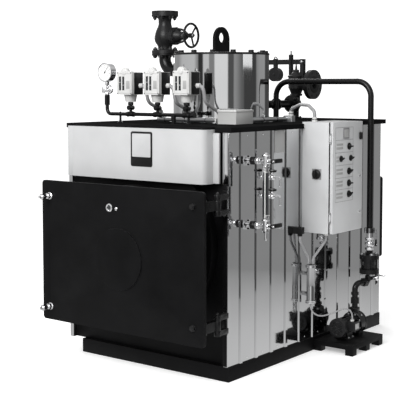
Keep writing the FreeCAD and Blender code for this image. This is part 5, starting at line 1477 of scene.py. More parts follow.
@dataclass
class FeedLineTrim(Assembly):
    """Nuts, hexagons and beads of the feed line."""

    bolt_radius: float = 0.054
    bolt_across: float = 0.024
    pipe_radius: float = 0.0212
    run_z: float = 1.889
    leg_z: float = 1.779
    bend: float = 0.11
    inlet_x: float = 0.064
    riser: tuple[float, float] = (0.845, 0.334)
    cock_z: float = 0.47
    wafer_outline: Outline = (
        (0.042, 0.0), (0.047, 0.003), (0.047, 0.022), (0.0435, 0.026), (0.0435, 0.048), (0.047, 0.052),
        (0.047, 0.071), (0.042, 0.074))
    hexagons_outline: Outline = (
        (0.0, 0.0), (0.017, 0.0), (0.017, 0.006), (0.012, 0.009), (0.012, 0.016), (0.0, 0.016))
    union_outline: Outline = (
        (0.019, 0.0), (0.026, 0.0), (0.026, 0.01), (0.0205, 0.014), (0.0205, 0.032), (0.019, 0.034))

    def build(self) -> None:
        """Make every piece."""
        low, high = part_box("feed_check_valve")
        x, y = (low.x + high.x) / 2, (low.y + high.y) / 2
        nuts = Shape("check_valve_nuts")
        nuts.bolt_circle((x, y, high.z - 0.011), UP, self.bolt_radius, 4, self.bolt_across)
        nuts.bolt_circle((x, y, low.z + 0.011), DOWN, self.bolt_radius, 4, self.bolt_across)
        self.done(nuts, ZINC)
        wafer = Shape("check_valve_wafer")
        wafer.turned((x, y, low.z + 0.042), UP, self.wafer_outline, 40)
        self.done(wafer, CASTING)
        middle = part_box("feed_valve_lever")[0].z + 0.014
        ends = Shape("ball_valve_hexagons")
        for base in (middle - 0.046, middle + 0.028):
            ends.hexagon((x, y, base), UP, 0.018, 0.032, 0.002)
        ends.turned((x + 0.028, y, middle), RIGHT, self.hexagons_outline, 6)
        self.done(ends, CHROME)
        union = Shape("feed_pipe_union")
        union.hexagon((x, y, high.z + 0.147), UP, 0.037, 0.0372, 0.002)
        union.turned((x, y, high.z - 0.011), UP, self.union_outline, 32)
        self.done(union, PIPE_BLACK)
        lever = Shape("ball_valve_grip")
        lever_low, lever_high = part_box("feed_valve_lever")
        lever.block((lever_low.x + 0.0005, y - 0.0105, lever_high.z - 0.07),
                    (lever_high.x - 0.0005, y + 0.0105, lever_high.z), 0.003)
        self.done(lever, LEVER_GREY, "feed_lever")
        nut = Shape("ball_valve_lever_nut")
        nut.bolt((lever_high.x - 0.002, y, middle), RIGHT, 0.013, 0.002)
        self.done(nut, ZINC, "feed_lever")
        beads = Shape("feed_pipe_beads")
        radius = self.pipe_radius
        for place, axis in (((x, y, self.leg_z), DOWN), ((x - self.bend, y, self.run_z), LEFT),
                            ((self.inlet_x + self.bend, y, self.run_z), RIGHT),
                            ((self.inlet_x, y, self.leg_z), DOWN)):
            beads.turned(
                place, axis, [(radius - 0.001, 0.0), (radius + 0.0012, 0.002), (radius + 0.0012, 0.004),
                (radius - 0.001, 0.006)], 28)
        beads.bolt_circle((self.inlet_x, y, 1.612), UP, 0.03, 4, 0.009)
        self.done(beads, PIPE_BLACK)
        collars = Shape("lower_pipe_collars")
        collars.turned(
            (*self.riser, 0.36), UP, [(radius, 0.0), (0.028, 0.002), (0.028, 0.02), (radius, 0.022)], 32)
        collars.hexagon((*self.riser, 0.252), UP, 0.02, 0.036, 0.002)
        collars.turned((x, y, 0.452), UP, [(radius, 0.0), (0.029, 0.002), (0.029, 0.03), (radius,
            0.032)], 32)
        self.done(collars, PIPE_BLACK)
        cock = Shape("drain_cock_trim")
        cock.block(
            (x + 0.062, y - 0.008, self.cock_z + 0.019), (x + 0.1295, y + 0.008, self.cock_z + 0.027), 0.003)
        cock.ball((x + 0.06, y, self.cock_z), 0.0205, 28)
        cock.hexagon((x + 0.035, y, self.cock_z), RIGHT, 0.008, 0.015, 0.001)
        cock.rod((x + 0.06, y, self.cock_z - 0.038), DOWN, 0.007, 0.0095, sides=6)
        self.done(cock, CHROME)


@dataclass
class PumpTrim(Assembly):
    """Finned motor, its fan cover and terminal box, and the pump's bolts."""

    fins: int = 30
    fin_depth: float = 0.008
    grille_rings: int = 6
    axis_x: float = 0.845
    axis_z: float = 0.163
    motor_radius: float = 0.064
    casing_bolts: float = 0.068
    gland_place: tuple[float, float] = (0.93, 0.146)
    barrel_outline: Outline = ((0.0, 0.0), (0.009, 0.0), (0.009, 0.005), (0.0, 0.005))
    ribs_outline: Outline = (
        (0.078, 0.0), (0.081, 0.002), (0.081, 0.012), (0.078, 0.016), (0.078, 0.066), (0.081, 0.07),
        (0.081, 0.08), (0.078, 0.082))
    gland_outline: Outline = ((0.0, 0.0), (0.0125, 0.0), (0.0125, 0.006), (0.008, 0.011), (0.0, 0.011))

    def motor(self) -> None:
        """Finned barrel with end shields, feet and fan cover, in place of the plain motor."""
        low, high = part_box("pump_motor")
        x, z = (low.x + high.x) / 2, self.axis_z
        radius = (high.x - low.x) / 2
        barrel = Shape("motor_barrel")
        inner = self.motor_radius - self.fin_depth
        start = low.y
        barrel.turned((x, start, z), BACK, [
            (0.0, 0.04), (inner, 0.04), (inner, 0.15), (0.058, 0.152), (0.064, 0.156), (0.064, 0.17),
            (0.058, 0.176), (0.04, 0.18), (0.03, 0.182), (0.0, 0.182)], 48)
        for step in range(self.fins):
            angle = 2 * math.pi * (step + 0.5) / self.fins
            fin = barrel.block((x - 0.0013, start + 0.046, z + inner - 0.002),
                               (x + 0.0013, start + 0.152, z + 0.0635), 0.0006, 1)
            barrel.turn(fin, (x, 0.0, z), BACK, angle)
        barrel.block((x - 0.06, 0.15, low.z), (x + 0.06, 0.23, low.z + 0.01), 0.002)
        for side in (-1, 1):
            near, far = sorted((x + side * 0.03, x + side * 0.046))
            barrel.block((near, 0.155, low.z), (far, 0.225, z - 0.03), 0.002)
        barrel.turned((x + 0.015, 0.2, z + 0.055), UP, self.barrel_outline, 20)
        self.done(barrel, MOTOR, replaces=("pump_motor",))
        cover = Shape("motor_fan_cover")
        cover.turned((x, start, z), BACK, [
            (0.047, 0.0), (0.058, 0.0), (0.065, 0.002), (radius, 0.008), (radius, 0.042),
            (radius - 0.003, 0.042),
            (radius - 0.003, 0.009), (0.057, 0.003), (0.047, 0.003), (0.047, 0.0)], 48)
        for step in range(self.grille_rings):
            cover.ring((x, start + 0.0018, z), BACK, 0.01 + 0.007 * step, 0.0013, 36, 6)
        for step in range(4):
            bar = cover.block((x - 0.0016, start + 0.0006, z - 0.049), (x + 0.0016, start + 0.003,
                z + 0.049))
            cover.turn(bar, (x, 0.0, z), BACK, math.pi * step / 4)
        self.done(cover, MOTOR)
        # Dark disc inside the fan cover: painted shade behind the grille.
        dark = Shape("motor_fan_shadow")
        dark.rod((x, start + 0.008, z), BACK, 0.003, 0.064, sides=40)
        self.done(dark, SOOT_AND_SHADE)
        feet = Shape("motor_foot_bolts")
        for side in (-0.05, 0.05):
            for place in (0.162, 0.218):
                feet.bolt((x + side, place, low.z + 0.01), UP, 0.013, 0.002)
        self.done(feet, ZINC)

    def casing(self) -> None:
        """Bolts, plugs and flange ring of the pump."""
        x, z = self.axis_x, self.axis_z
        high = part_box("pump_casing")[1]
        bolts = Shape("pump_casing_bolts")
        bolts.bolt_circle((x, 0.374, z), BACK, self.casing_bolts, 8, 0.012, 0.002)
        bolts.bolt_circle((x, 0.292, z), FRONT, self.casing_bolts, 8, 0.012)
        bolts.bolt((x + 0.052, 0.333, z + 0.055), Vector((0.68, 0.0, 0.73)).normalized(), 0.014)
        self.done(bolts, ZINC)
        rib = Shape("pump_casing_ribs")
        rib.turned((x, 0.292, z), BACK, self.ribs_outline, 56)
        rib.rod((x, high.y - 0.022, z), BACK, 0.02, 0.05, sides=8, bevel=0.002)
        self.done(rib, PIPE_BLACK)

    def terminal_box(self) -> None:
        """Lid, bare label and pale gland of the terminal box."""
        low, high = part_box("motor_terminal_box")
        top = high.z - 0.016
        lid = Shape("terminal_box_lid")
        lid.block((low.x + 0.004, low.y - 0.001, top - 0.012), (high.x + 0.001, high.y + 0.001, top), 0.003)
        self.done(lid, MOTOR)
        label = Shape("terminal_box_label")
        label.block(
            (high.x, low.y + 0.012, low.z + 0.012), (high.x + 0.001, high.y - 0.014, top - 0.016), 0.0004)
        self.done(label, LABEL)
        gland = Shape("terminal_box_gland")
        gland.hexagon((*self.gland_place, top), UP, 0.006, 0.0145, 0.001)
        gland.turned((*self.gland_place, top + 0.006), UP, self.gland_outline, 24)
        self.done(gland, WHITE)

    def build(self) -> None:
        """Make every piece."""
        self.motor()
        self.casing()
        self.terminal_box()


# ---------- control box and wiring

@dataclass
class ControlBoxTrim(Assembly):
    """Switches, display, latch, seals and the gear inside the control box."""

    switch_y: float = 0.082
    switch_heights: tuple[float, ...] = (1.444, 1.273, 1.191, 1.115)
    pair_y: tuple[float, float] = (-0.027, 0.106)
    pair_z: float = 1.362
    frame_low: tuple[float, float] = (-0.1, 1.07)
    frame_high: tuple[float, float] = (0.138, 1.575)
    handle_x: float = 0.81
    handle_z: float = 1.26
    legend_rows: tuple[float, ...] = (1.153, 1.232, 1.318, 1.404, 1.49)
    handle_half: float = 0.036
    cable_gland: tuple[float, float] = (0.817, -0.031)
    spare_x: float = 0.8
    spare_glands: tuple[float, ...] = (0.04, 0.1, 0.16, 0.22)
    rail_rows: tuple[float, ...] = (0.18, 0.38, 0.58)
    gear_rows: tuple[float, ...] = (0.15, 0.35, 0.55)
    lock_y: float = 0.236
    lock_heights: tuple[float, float] = (1.231, 0.98)
    elbow: tuple[float, float] = (0.726, -0.222)
    conduit_reach: float = 0.058
    lock_outline: Outline = (
        (0.0, 0.0), (0.012, 0.0), (0.012, 0.003), (0.009, 0.005), (0.004, 0.005), (0.0, 0.002))
    glands_outline: Outline = ((0.009, 0.0), (0.015, 0.0), (0.015, 0.012), (0.0105, 0.02), (0.009, 0.02))
    rings_outline: Outline = (
        (0.034, 0.0), (0.0365, 0.002), (0.0365, 0.006), (0.034, 0.008), (0.034, 0.011), (0.0355, 0.013),
        (0.0355, 0.016), (0.034, 0.018))
    bush_outline: Outline = ((0.0, 0.0), (0.026, 0.0), (0.024, 0.004), (0.0, 0.005))
    ribs_outline: Outline = ((0.016, 0.0), (0.0172, 0.0006), (0.0172, 0.002), (0.016, 0.0026))

    def selector(self, shape: Shape, spot: Vector, axis: Vector, size: float, tilt: float) -> None:
        """Add a rotary switch: a stepped round base and a long grip.

        Args:
            shape: Mesh that it is added to.
            spot: Its middle on the face.
            axis: Direction that it points in.
            size: Radius of the base.
            tilt: Turn of the grip.
        """
        shape.turned(
            spot, axis, [(0.0, 0.0), (size, 0.0), (size, size * 0.2), (size * 0.86, size * 0.32),
            (size * 0.6, size * 0.4), (size * 0.6, size * 0.55), (0.0, size * 0.55)], 32)
        turn = UP.rotation_difference(axis).to_matrix().to_4x4() @ Matrix.Rotation(tilt, 4, "Z")
        grip = shape.block(
            (-size * 0.2, -size * 0.85, size * 0.5), (size * 0.2, size * 0.85, size * 1.1), size * 0.08)
        bmesh.ops.transform(shape.mesh, matrix=Matrix.Translation(spot) @ turn, verts=grip)

    def door(self) -> None:
        """What stands on the door."""
        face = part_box("panel_door")[1].x
        knobs = Shape("panel_switches")
        for number, height in enumerate(self.switch_heights):
            self.selector(knobs, Vector((face, self.switch_y, height)), RIGHT, 0.024, 0.5 * (number % 2))
        for place in self.pair_y:
            self.selector(knobs, Vector((face, place, self.pair_z)), RIGHT, 0.021, 0.35)
        knobs.block((face, 0.222, 1.484), (face + 0.016, 0.25, 1.537), 0.011, 4)
        self.done(knobs, PLASTIC, "panel_leaf")
        (left, bottom), (right, top) = self.frame_low, self.frame_high
        rows = [bottom, *self.legend_rows, top]
        lines = Shape("panel_legend_frames")
        for height in rows:
            lines.block((face, left, height - 0.0012), (face + 0.0006, right, height + 0.0012))
        for place in (left, right):
            lines.block((face, place - 0.0012, bottom), (face + 0.0006, place + 0.0012, top))
        lines.block((face, 0.002, 1.497), (face + 0.004, 0.08, 1.57), 0.0015)
        self.done(lines, LEVER_GREY, "panel_leaf")
        plates = Shape("panel_blank_plates")
        for low, high in zip(rows, rows[1:-1]):
            middle = (low + high) / 2
            plates.block(
                (face, left + 0.012, middle - 0.02), (face + 0.0008, left + 0.1, middle - 0.004), 0.0003)
            plates.block(
                (face, left + 0.012, middle + 0.006), (face + 0.0008, left + 0.1, middle + 0.02), 0.0003)
        plates.block((face + 0.003, 0.01, 1.506), (face + 0.0048, 0.072, 1.561), 0.0008)
        self.done(plates, LABEL, "panel_leaf")
        keys = Shape("panel_door_lock")
        for height in self.lock_heights:
            keys.turned((face, self.lock_y, height), RIGHT, self.lock_outline, 24)
        self.done(keys, CHROME, "panel_leaf")

    def body(self) -> None:
        """Main switch on the front face, seal round the opening and glands below."""
        low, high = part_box("control_box")
        plate = Shape("main_switch_plate")
        plate.block((self.handle_x - self.handle_half, low.y - 0.003, self.handle_z - self.handle_half),
                    (self.handle_x + self.handle_half, low.y, self.handle_z + self.handle_half), 0.001)
        self.done(plate, LEVER_GREY)
        knob = Shape("main_switch_handle")
        self.selector(knob, Vector((self.handle_x, low.y - 0.003, self.handle_z)), FRONT, 0.033, 0.0)
        self.done(knob, PLASTIC)
        seal = Shape("control_box_seal")
        edge, inset = 0.009, 0.0005
        for start, end in (((low.y + inset, low.z + inset), (high.y - inset, low.z + edge)),
                           ((low.y + inset, high.z - edge), (high.y - inset, high.z - inset)),
                           ((low.y + 0.0155, low.z), (low.y + 0.024, high.z)),
                           ((high.y - edge, low.z), (high.y - inset, high.z))):
            seal.block((high.x, start[0], start[1]), (high.x + 0.0016, end[0], end[1]))
        self.done(seal, PLASTIC)
        glands = Shape("control_box_glands")
        for x, y in (self.cable_gland, *((self.spare_x, place) for place in self.spare_glands)):
            glands.hexagon((x, y, low.z), DOWN, 0.008, 0.0175, 0.0012)
            glands.turned((x, y, low.z - 0.008), DOWN, self.glands_outline, 28)
        self.done(glands, WHITE)
        plugs = Shape("control_box_gland_plugs")
        for y in self.spare_glands:
            plugs.rod((self.spare_x, y, low.z - 0.01), DOWN, 0.014, 0.009, sides=20, bevel=0.002)
        self.done(plugs, PLASTIC)

    def inside(self) -> None:
        """Mounting plate with rails, ducts and switchgear."""
        low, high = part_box("control_box")
        back = low.x + 0.003
        left, right = low.y + 0.03, high.y - 0.03
        sheet = Shape("mounting_plate")
        sheet.block((back + 0.008, left, low.z + 0.04), (back + 0.01, right, high.z - 0.04), 0.0006)
        for row in self.rail_rows:
            sheet.block((back + 0.01, left + 0.01, low.z + row),
                        (back + 0.017, right - 0.01, low.z + row + 0.035), 0.001)
        self.done(sheet, ZINC)
        gear = Shape("switchgear")
        ducts = Shape("wiring_ducts")
        for number, row in enumerate(self.gear_rows):
            width = 0.034 + 0.012 * (number % 2)
            place = left + 0.02
            while place + width < right - 0.02:
                gear.block((back + 0.017, place, low.z + row),
                           (back + 0.075, place + width - 0.003, low.z + row + 0.09), 0.002)
                gear.block((back + 0.075, place + 0.006, low.z + row + 0.025),
                           (back + 0.088, place + width - 0.009, low.z + row + 0.065), 0.002)
                place += width
            ducts.block((back + 0.01, left + 0.005, low.z + row + 0.11),
                        (back + 0.06, right - 0.005, low.z + row + 0.15), 0.001)
        self.done(gear, PLASTIC)
        self.done(ducts, LABEL)

    def wiring(self) -> None:
        """Collar rings on the conduit and the sleeve of the elbow gland."""
        low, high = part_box("cable_conduit")
        x, y = low.x + self.conduit_reach, (low.y + high.y) / 2
        rings = Shape("conduit_collar_rings")
        for height in (low.z, high.z - 0.018):
            rings.turned((x, y, height), UP, self.rings_outline, 40)
        self.done(rings, CHROME)
        fill = Shape("conduit_end_bush")
        fill.turned((x, y, high.z), UP, self.bush_outline, 32)
        self.done(fill, PLASTIC)
        gland = Shape("casing_gland_ribs")
        body_low, body_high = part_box("casing_gland")
        for step in range(4):
            gland.turned((*self.elbow, body_low.z + 0.002 + 0.0035 * step), UP, self.ribs_outline, 28)
        gland.block((body_high.x - 0.01, -0.236, body_high.z - 0.038),
                    (body_high.x + 0.002, -0.208, body_high.z - 0.006), 0.002)
        self.done(gland, PLASTIC)

    def build(self) -> None:
        """Make every piece."""
        self.door()
        self.body()
        self.inside()
        self.wiring()


# ---------- level gauge and test cocks

@dataclass
class LevelGaugeTrim(Assembly):
    """Hexagons, glass, guards and nuts of the level gauge and the test cocks."""

    wall_x: float = 0.687
    gauge_y: float = -0.8
    column_x: float = 0.836
    heights: tuple[float, float] = (0.979, 1.387)
    cock_y: float = -0.585
    cock_heights: tuple[float, float] = (1.143, 1.265)
    half_cross: float = 0.042
    glass_inset: float = 0.069
    glass_half: float = 0.0145
    guard_side: float = 0.0185
    grip_length: float = 0.082
    fittings_outline_1: Outline = ((0.012, 0.0), (0.016, 0.001), (0.016, 0.007), (0.012, 0.009))
    fittings_outline_2: Outline = (
        (0.017, 0.0), (0.021, 0.001), (0.021, 0.008), (0.0185, 0.01), (0.0185, 0.017), (0.021, 0.019),
        (0.021, 0.025), (0.017, 0.026))
    fittings_outline_3: Outline = ((0.0, 0.0), (0.014, 0.0), (0.014, 0.006), (0.008, 0.012), (0.0, 0.012))
    fittings_outline: Outline = ((0.01, 0.0), (0.028, 0.0), (0.028, 0.004), (0.02, 0.009), (0.01, 0.009))
    knobs_outline: Outline = (
        (0.0, 0.0), (0.018, 0.0), (0.023, 0.003), (0.0235, 0.01), (0.021, 0.016), (0.012, 0.019),
        (0.0, 0.0195))

    def gauge(self) -> None:
        """Pieces of the level gauge."""
        low, high = self.heights
        dark = Shape("level_gauge_hexagons")
        bright = Shape("level_gauge_fittings")
        for height in self.heights:
            dark.hexagon((self.wall_x + 0.039, self.gauge_y, height), RIGHT, 0.028, 0.028, 0.002)
            dark.bolt_circle((self.wall_x + 0.014, self.gauge_y, height), RIGHT, 0.026, 4, 0.011, 0.002)
            bright.ball((self.wall_x + 0.088, self.gauge_y, height), 0.0235, 28)
            bright.hexagon((self.column_x + 0.012, self.gauge_y, height), RIGHT, 0.012, 0.02, 0.0015)
            bright.turned((self.column_x + 0.024, self.gauge_y, height), RIGHT, self.fittings_outline_1, 28)
            for end, axis in ((height + self.half_cross, UP), (height - self.half_cross, DOWN)):
                bright.hexagon(
                    Vector((self.column_x, self.gauge_y, end)) - axis * 0.014, axis, 0.014, 0.0255, 0.002)
        for base in (low + self.half_cross, high - 0.068):
            bright.turned((self.column_x, self.gauge_y, base), UP, self.fittings_outline_2, 6)
        bright.turned(
            (self.column_x, self.gauge_y, high + self.half_cross), UP, self.fittings_outline_3, 24)
        bright.rod(
            (self.column_x, self.gauge_y, low - self.half_cross), DOWN, 0.05, 0.008, sides=24, bevel=0.001)
        self.done(dark, PIPE_BLACK)
        self.done(bright, CHROME)
        glass = Shape("gauge_glass_strip")
        glass.block((self.column_x - 0.012, self.gauge_y - self.glass_half, low + self.glass_inset),
                    (self.column_x + 0.0135, self.gauge_y + self.glass_half, high - self.glass_inset), 0.002)
        self.done(glass, DARK_GLASS)
        guards = Shape("gauge_glass_guards")
        for side in (-self.guard_side, self.guard_side):
            guards.rod(
                (self.column_x + 0.006, self.gauge_y + side, low + 0.05), UP, high - low - 0.1, 0.0034,
                sides=16, bevel=0.0006)
        for height in (low + 0.064, high - 0.07):
            guards.block((self.column_x + 0.003, self.gauge_y - 0.0215, height),
                         (self.column_x + 0.015, self.gauge_y + 0.0215, height + 0.006), 0.001)
        self.done(guards, WHITE)

    def levers(self) -> None:
        """Nuts and rounded grips on the moving levers."""
        for word, node in (("low", "gauge_lever_lower"), ("high", "gauge_lever_upper")):
            low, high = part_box(node)
            middle = (low.z + high.z) / 2
            grip = Shape("gauge_grip_" + word)
            grip.block((low.x + 0.001, high.y - self.grip_length, low.z + 0.0005),
                       (high.x - 0.001, high.y, high.z - 0.0005), 0.0045, 3)
            self.done(grip, PLASTIC, "gauge_lever_" + word)
            nut = Shape("gauge_lever_nut_" + word)
            nut.bolt((high.x - 0.001, self.gauge_y, middle), RIGHT, 0.014, 0.002)
            self.done(nut, CHROME, "gauge_lever_" + word)

    def cocks(self) -> None:
        """Knobs, hexagons and escutcheons of the test cocks."""
        bright = Shape("test_cock_fittings")
        knobs = Shape("test_cock_knobs")
        for height in self.cock_heights:
            bright.turned((self.wall_x, self.cock_y, height), RIGHT, self.fittings_outline, 32)
            bright.hexagon((self.wall_x + 0.018, self.cock_y, height), RIGHT, 0.016, 0.0185, 0.0015)
            centre = (self.wall_x + 0.056, self.cock_y, height)
            bright.hexagon((centre[0], centre[1], height + 0.014), UP, 0.013, 0.0125, 0.001)
            bright.hexagon((centre[0], centre[1] + 0.014, height), BACK, 0.014, 0.0135, 0.001)
            bright.ring((centre[0], centre[1] + 0.09, height - 0.067), UP, 0.0075, 0.0018, 24, 8)
            spot = (centre[0], centre[1], height + 0.033)
            knobs.turned(spot, UP, self.knobs_outline, 28)
            for step in range(8):
                angle = 2 * math.pi * step / 8
                knobs.rod((spot[0] + 0.0225 * math.cos(angle), spot[1] + 0.0225 * math.sin(angle),
                           spot[2] + 0.002), UP, 0.013, 0.004, sides=12, bevel=0.001)
        self.done(bright, CHROME)
        self.done(knobs, PLASTIC)

    def build(self) -> None:
        """Make every piece."""
        self.gauge()
        self.levers()
        self.cocks()


# ---------- pressure fittings on the top

@dataclass
class PressureTrim(Assembly):
    """Dial of the pressure gauge, fronts of the switches and fittings of the conduits."""

    dial_marks: int = 41
    dial_start: float = -135.0
    dial_turn: float = 270.0
    needle: float = 38.0
    hub_y: float = -0.723
    dial_radius: float = 0.067
    gauge_x: float = -0.577
    switch_heights: tuple[float, float] = (1.796, 1.958)
    manifold_z: float = 1.66
    stem_places: tuple[float, ...] = (-0.355, -0.11, 0.146)
    weld_places: tuple[float, float] = (-0.452, 0.16)
    conduit_y: float = -0.53
    conduit_z: float = 1.622
    ring_places: tuple[float, ...] = (-0.2, -0.02, 0.16)
    branch_x: float = 0.4
    branch_rings: tuple[float, float] = (-0.2, -0.03)
    frame_outline: Outline = ((0.0, 0.0), (0.02, 0.0), (0.02, 0.004), (0.016, 0.006), (0.0, 0.006))
    windows_outline: Outline = ((0.0, 0.0), (0.0042, 0.0), (0.0042, 0.001), (0.0026, 0.0024), (0.0, 0.0026))
    stem_outline: Outline = ((0.0, 0.0), (0.022, 0.0), (0.022, 0.012), (0.014, 0.016), (0.0, 0.016))
    gland_outline_1: Outline = ((0.012, 0.0), (0.016, 0.0), (0.016, 0.012), (0.013, 0.016), (0.012, 0.016))
    gland_outline_2: Outline = (
        (0.012, 0.0), (0.0175, 0.0), (0.0175, 0.01), (0.0145, 0.012), (0.0145, 0.026), (0.012, 0.028))
    screws_outline: Outline = ((0.0, 0.0), (0.0065, 0.0), (0.0065, 0.0015), (0.004, 0.003), (0.0, 0.003))
    sockets_outline: Outline = (
        (0.013, 0.0), (0.0185, 0.002), (0.0185, 0.012), (0.0165, 0.014), (0.0165, 0.05), (0.0185, 0.052),
        (0.0185, 0.062), (0.013, 0.064))

    def dial(self) -> None:
        """Bezel, face, marks, numbers and pointer."""
        low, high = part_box("pressure_gauge")
        radius = self.dial_radius
        x, z, front = self.gauge_x, high.z - radius, low.y
        bezel = Shape("gauge_bezel")
        bezel.turned(
            (x, front, z), FRONT, [(radius, -0.03), (radius + 0.0015, -0.028), (radius + 0.0015, 0.003),
            (radius - 0.001, 0.006), (radius - 0.006, 0.0065), (radius - 0.0085, 0.004),
            (radius - 0.0085, 0.001), (radius, -0.03)], 64)
        self.done(bezel, CHROME)
        face = Shape("gauge_face")
        face.rod((x, front + 0.001, z), FRONT, 0.0025, radius - 0.008, sides=64)
        self.done(face, DIAL)
        marks = Shape("gauge_marks")
        top = front - 0.0015
        for step in range(self.dial_marks):
            angle = math.radians(self.dial_start + self.dial_turn * step / (self.dial_marks - 1))
            long = step % 5 == 0
            mark = marks.block(
                (x - (0.0009 if long else 0.0004), top - 0.0004, z + (0.044 if long else 0.048)),
                (x + (0.0009 if long else 0.0004), top, z + 0.0535))
            marks.turn(mark, (x, 0.0, z), BACK, angle)
            if long:
                spot = Vector((x + 0.036 * math.sin(angle), top - 0.0003, z + 0.036 * math.cos(angle)))
                marks.lettering(str(step // 5 * 2), 0.0105,
                                Matrix.Translation(spot) @ Matrix.Rotation(math.pi / 2, 4, "X"))
        hand = marks.block(
            (x - 0.0014, top - 0.0022, z - 0.016), (x + 0.0014, top - 0.0012, z + 0.046), 0.0004, 1)
        marks.turn(hand, (x, 0.0, z), BACK, math.radians(self.needle))
        marks.rod((x, top, z), FRONT, 0.003, 0.0055, sides=28, bevel=0.0006)
        self.done(marks, PLASTIC)

    def siphon(self) -> None:
        """Nuts of the gauge's siphon and cock."""
        fittings = Shape("siphon_fittings")
        x = self.gauge_x
        fittings.hexagon((x, self.hub_y, 1.886), DOWN, 0.026, 0.0165, 0.0015)
        fittings.hexagon((x, self.hub_y, 1.792), UP, 0.018, 0.0165, 0.0015)
        fittings.hexagon((x - 0.042, self.hub_y, 1.822), RIGHT, 0.02, 0.0165, 0.0015)
        fittings.block((x - 0.046, self.hub_y - 0.005, 1.818), (x - 0.042, self.hub_y + 0.005, 1.852), 0.001)
        self.done(fittings, CHROME)

    def switch(self, name: str) -> None:
        """Front, housing and stem of one pressure switch.

        Args:
            name: Which of the three switches.
        """
        low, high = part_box("pressure_switch_" + name)
        left, right, front = low.x, high.x, low.y
        x = (left + right) / 2
        bottom, top = self.switch_heights
        case = Shape("switch_housing_" + name)
        case.block((left + 0.0035, front + 0.0245, bottom - 0.0006),
                   (right + 0.0006, high.y + 0.0006, top - 0.007), 0.004)
        self.done(case, PLASTIC)
        cover = Shape("switch_cover_frame_" + name)
        edge = 0.011
        for start, end in (((left + edge, bottom + edge), (right - edge, bottom + edge + 0.004)),
                           ((left + edge, top - edge - 0.004), (right - edge, top - edge)),
                           ((left + edge, bottom + edge), (left + edge + 0.004, top - edge)),
                           ((right - edge - 0.004, bottom + edge), (right - edge, top - edge))):
            cover.block((start[0], front - 0.003, start[1]), (end[0], front + 0.001, end[1]), 0.0008)
        cover.turned((x, front, top - 0.004), FRONT, self.frame_outline, 36)
        self.done(cover, WHITE)
        windows = Shape("switch_windows_" + name)
        for start in (left + 0.02, left + 0.05):
            windows.block(
                (start, front - 0.0015, bottom + 0.03), (start + 0.019, front + 0.001, top - 0.036), 0.0015)
        for side in (left + 0.007, right - 0.007):
            for height in (bottom + 0.007, top - 0.012):
                windows.turned((side, front, height), FRONT, self.windows_outline, 16)
        self.done(windows, DARK_GLASS)
        scale = Shape("switch_pointers_" + name)
        for start, share in ((left + 0.02, 0.62), (left + 0.05, 0.4)):
            height = bottom + 0.03 + share * 0.09
            scale.block((start + 0.001, front - 0.0024, height - 0.0018),
                        (start + 0.018, front - 0.0012, height + 0.0018))
        scale.block((right - 0.05, front - 0.001, bottom + 0.04),
                    (right - 0.02, front + 0.001, bottom + 0.095), 0.0005)
        self.done(scale, LABEL)
        stem = Shape("switch_stem_" + name)
        stem.rod((x, self.hub_y, 1.67), UP, 0.075, 0.0105, sides=24)
        stem.hexagon((x, self.hub_y, 1.722), UP, 0.022, 0.02, 0.0015)
        stem.rod((x, self.hub_y - 0.026, 1.705), BACK, 0.052, 0.0162, sides=28, bevel=0.0015)
        stem.turned((x, self.hub_y, 1.665), UP, self.stem_outline, 28)
        self.done(stem, PIPE_BLACK)
        collar = Shape("switch_cable_gland_" + name)
        collar.hexagon((right, self.hub_y + 0.02, 1.858), RIGHT, 0.012, 0.0185, 0.0015)
        collar.turned((right + 0.012, self.hub_y + 0.02, 1.858), RIGHT, self.gland_outline_1, 28)
        end_x = right + 0.054
        collar.turned((end_x, self.conduit_y, self.conduit_z + 0.015), UP, self.gland_outline_2, 28)
        self.done(collar, WHITE)

    def conduits(self) -> None:
        """Pale fittings with dark rings along the conduits."""
        pale = Shape("conduit_fittings")
        dark = Shape("conduit_fitting_rings")
        ends = (((0.25, self.conduit_y, self.conduit_z), RIGHT),
                ((self.branch_x, -0.367, self.conduit_z), BACK), ((0.748, -0.078, 1.612), UP),
                ((0.43, 0.122, 1.644), UP))
        for spot, axis in ends:
            start = Vector(spot)
            wide = 0.0225 if axis in (RIGHT, BACK) else 0.019
            pale.turned(
                start, axis, [(0.011, 0.0), (wide, 0.0), (wide, 0.012), (wide - 0.003, 0.015),
                (wide - 0.003, 0.03), (0.011, 0.033)], 32)
            dark.turned(
                start + axis * 0.012, axis, [(wide - 0.002, 0.0), (wide + 0.001, 0.001),
                (wide + 0.001, 0.004), (wide - 0.002, 0.005)], 32)
        for x in self.ring_places:
            dark.ring((x, self.conduit_y, self.conduit_z), RIGHT, 0.0155, 0.0022, 28, 8)
        for y in self.branch_rings:
            dark.ring((self.branch_x, y, self.conduit_z), BACK, 0.0155, 0.0022, 28, 8)
        self.done(pale, WHITE)
        self.done(dark, PLASTIC)

    def junction(self) -> None:
        """Lid screws and the pale seal of the junction box."""
        low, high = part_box("junction_box")
        lid = Shape("junction_lid_screws")
        for x in (low.x + 0.012, high.x - 0.012):
            for y in (low.y + 0.012, high.y - 0.012):
                lid.turned((x, y, high.z), UP, self.screws_outline, 20)
        self.done(lid, CHROME)
        seal = Shape("junction_lid_seal")
        seal.block((low.x + 0.002, low.y + 0.002, high.z - 0.0155),
                   (high.x - 0.002, high.y - 0.002, high.z - 0.0135), 0.0005, 1)
        self.done(seal, PLASTIC)

    def header(self) -> None:
        """Sockets and tees along the manifold."""
        header = Shape("manifold_sockets")
        for x in self.stem_places:
            header.turned((x - 0.032, self.hub_y, self.manifold_z), RIGHT, self.sockets_outline, 28)
        for x in self.weld_places:
            header.ring((x, self.hub_y, self.manifold_z), RIGHT, 0.0135, 0.004, 24, 8)
        self.done(header, PIPE_BLACK)

    def build(self) -> None:
        """Make every piece."""
        self.dial()
        self.siphon()
        for name in ("left", "middle", "right"):
            self.switch(name)
        self.conduits()
        self.junction()
        self.header()


# ---------- rear

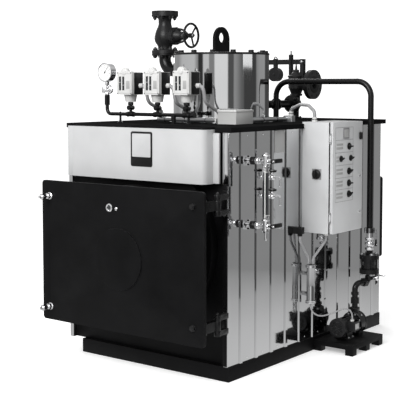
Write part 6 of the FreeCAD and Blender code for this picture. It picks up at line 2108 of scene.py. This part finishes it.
@dataclass
class RearTrim(Assembly):
    """Cleaning doors and flue flange of the smoke box."""

    door_half: float = 0.2
    door_places: tuple[float, float] = (-0.36, 0.36)
    flue_z: float = 0.88
    flue_bolts: float = 0.14
    door_inset: float = 0.09
    bolt_side: float = 0.175
    bolt_inset: float = 0.17
    flange_outline: Outline = (
        (0.125, 0.0), (0.152, 0.0), (0.152, 0.006), (0.15, 0.008), (0.128, 0.008), (0.125, 0.012))

    def build(self) -> None:
        """Make every piece."""
        low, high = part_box("rear_smoke_box")
        middle = self.flue_z
        doors = Shape("smoke_box_doors")
        handles = Shape("smoke_box_handles")
        for x in self.door_places:
            doors.block((x - self.door_half, high.y, low.z + self.door_inset),
                        (x + self.door_half, high.y + 0.008, high.z - self.door_inset), 0.003)
            doors.block((x - self.door_half + 0.03, high.y + 0.006, low.z + 0.12),
                        (x + self.door_half - 0.03, high.y + 0.012, high.z - 0.12), 0.003)
            for height in (low.z + self.bolt_inset, high.z - self.bolt_inset):
                for side in (-self.bolt_side, self.bolt_side):
                    handles.bolt((x + side, high.y + 0.008, height), BACK, 0.024, 0.008)
            grip = [(x, high.y + 0.01, 0.74), (x, high.y + 0.05, 0.745), (x, high.y + 0.055, 0.82),
                    (x, high.y + 0.05, 0.895), (x, high.y + 0.01, 0.9)]
            handles.swept(grip, 0.007, 3)
        self.done(doors, BLACK)
        self.done(handles, ZINC)
        flange = Shape("flue_flange")
        flange.turned((0.0, high.y, middle), BACK, self.flange_outline, 72)
        flange.bolt_circle((0.0, high.y + 0.008, middle), BACK, self.flue_bolts, 12, 0.014)
        flange.ring((0.0, high.y + 0.113, middle), BACK, 0.1225, 0.0035, 64, 8)
        self.done(flange, BLACK)


def main() -> None:
    """Build the looks in order."""
    studio = Studio()
    studio.camera()
    palette = Palette()
    PumpCable().build(palette)
    studio.build(palette)
    for dress in DRESSES:
        dress.wear(palette)
    for assembly in (CasingTrim, DoorTrim, DomeTrim, SteamValveTrim, ReliefTrim, FeedLineTrim, PumpTrim,
                     ControlBoxTrim, LevelGaugeTrim, PressureTrim, RearTrim):
        assembly(palette).build()


if __name__ == "__main__":
    main()
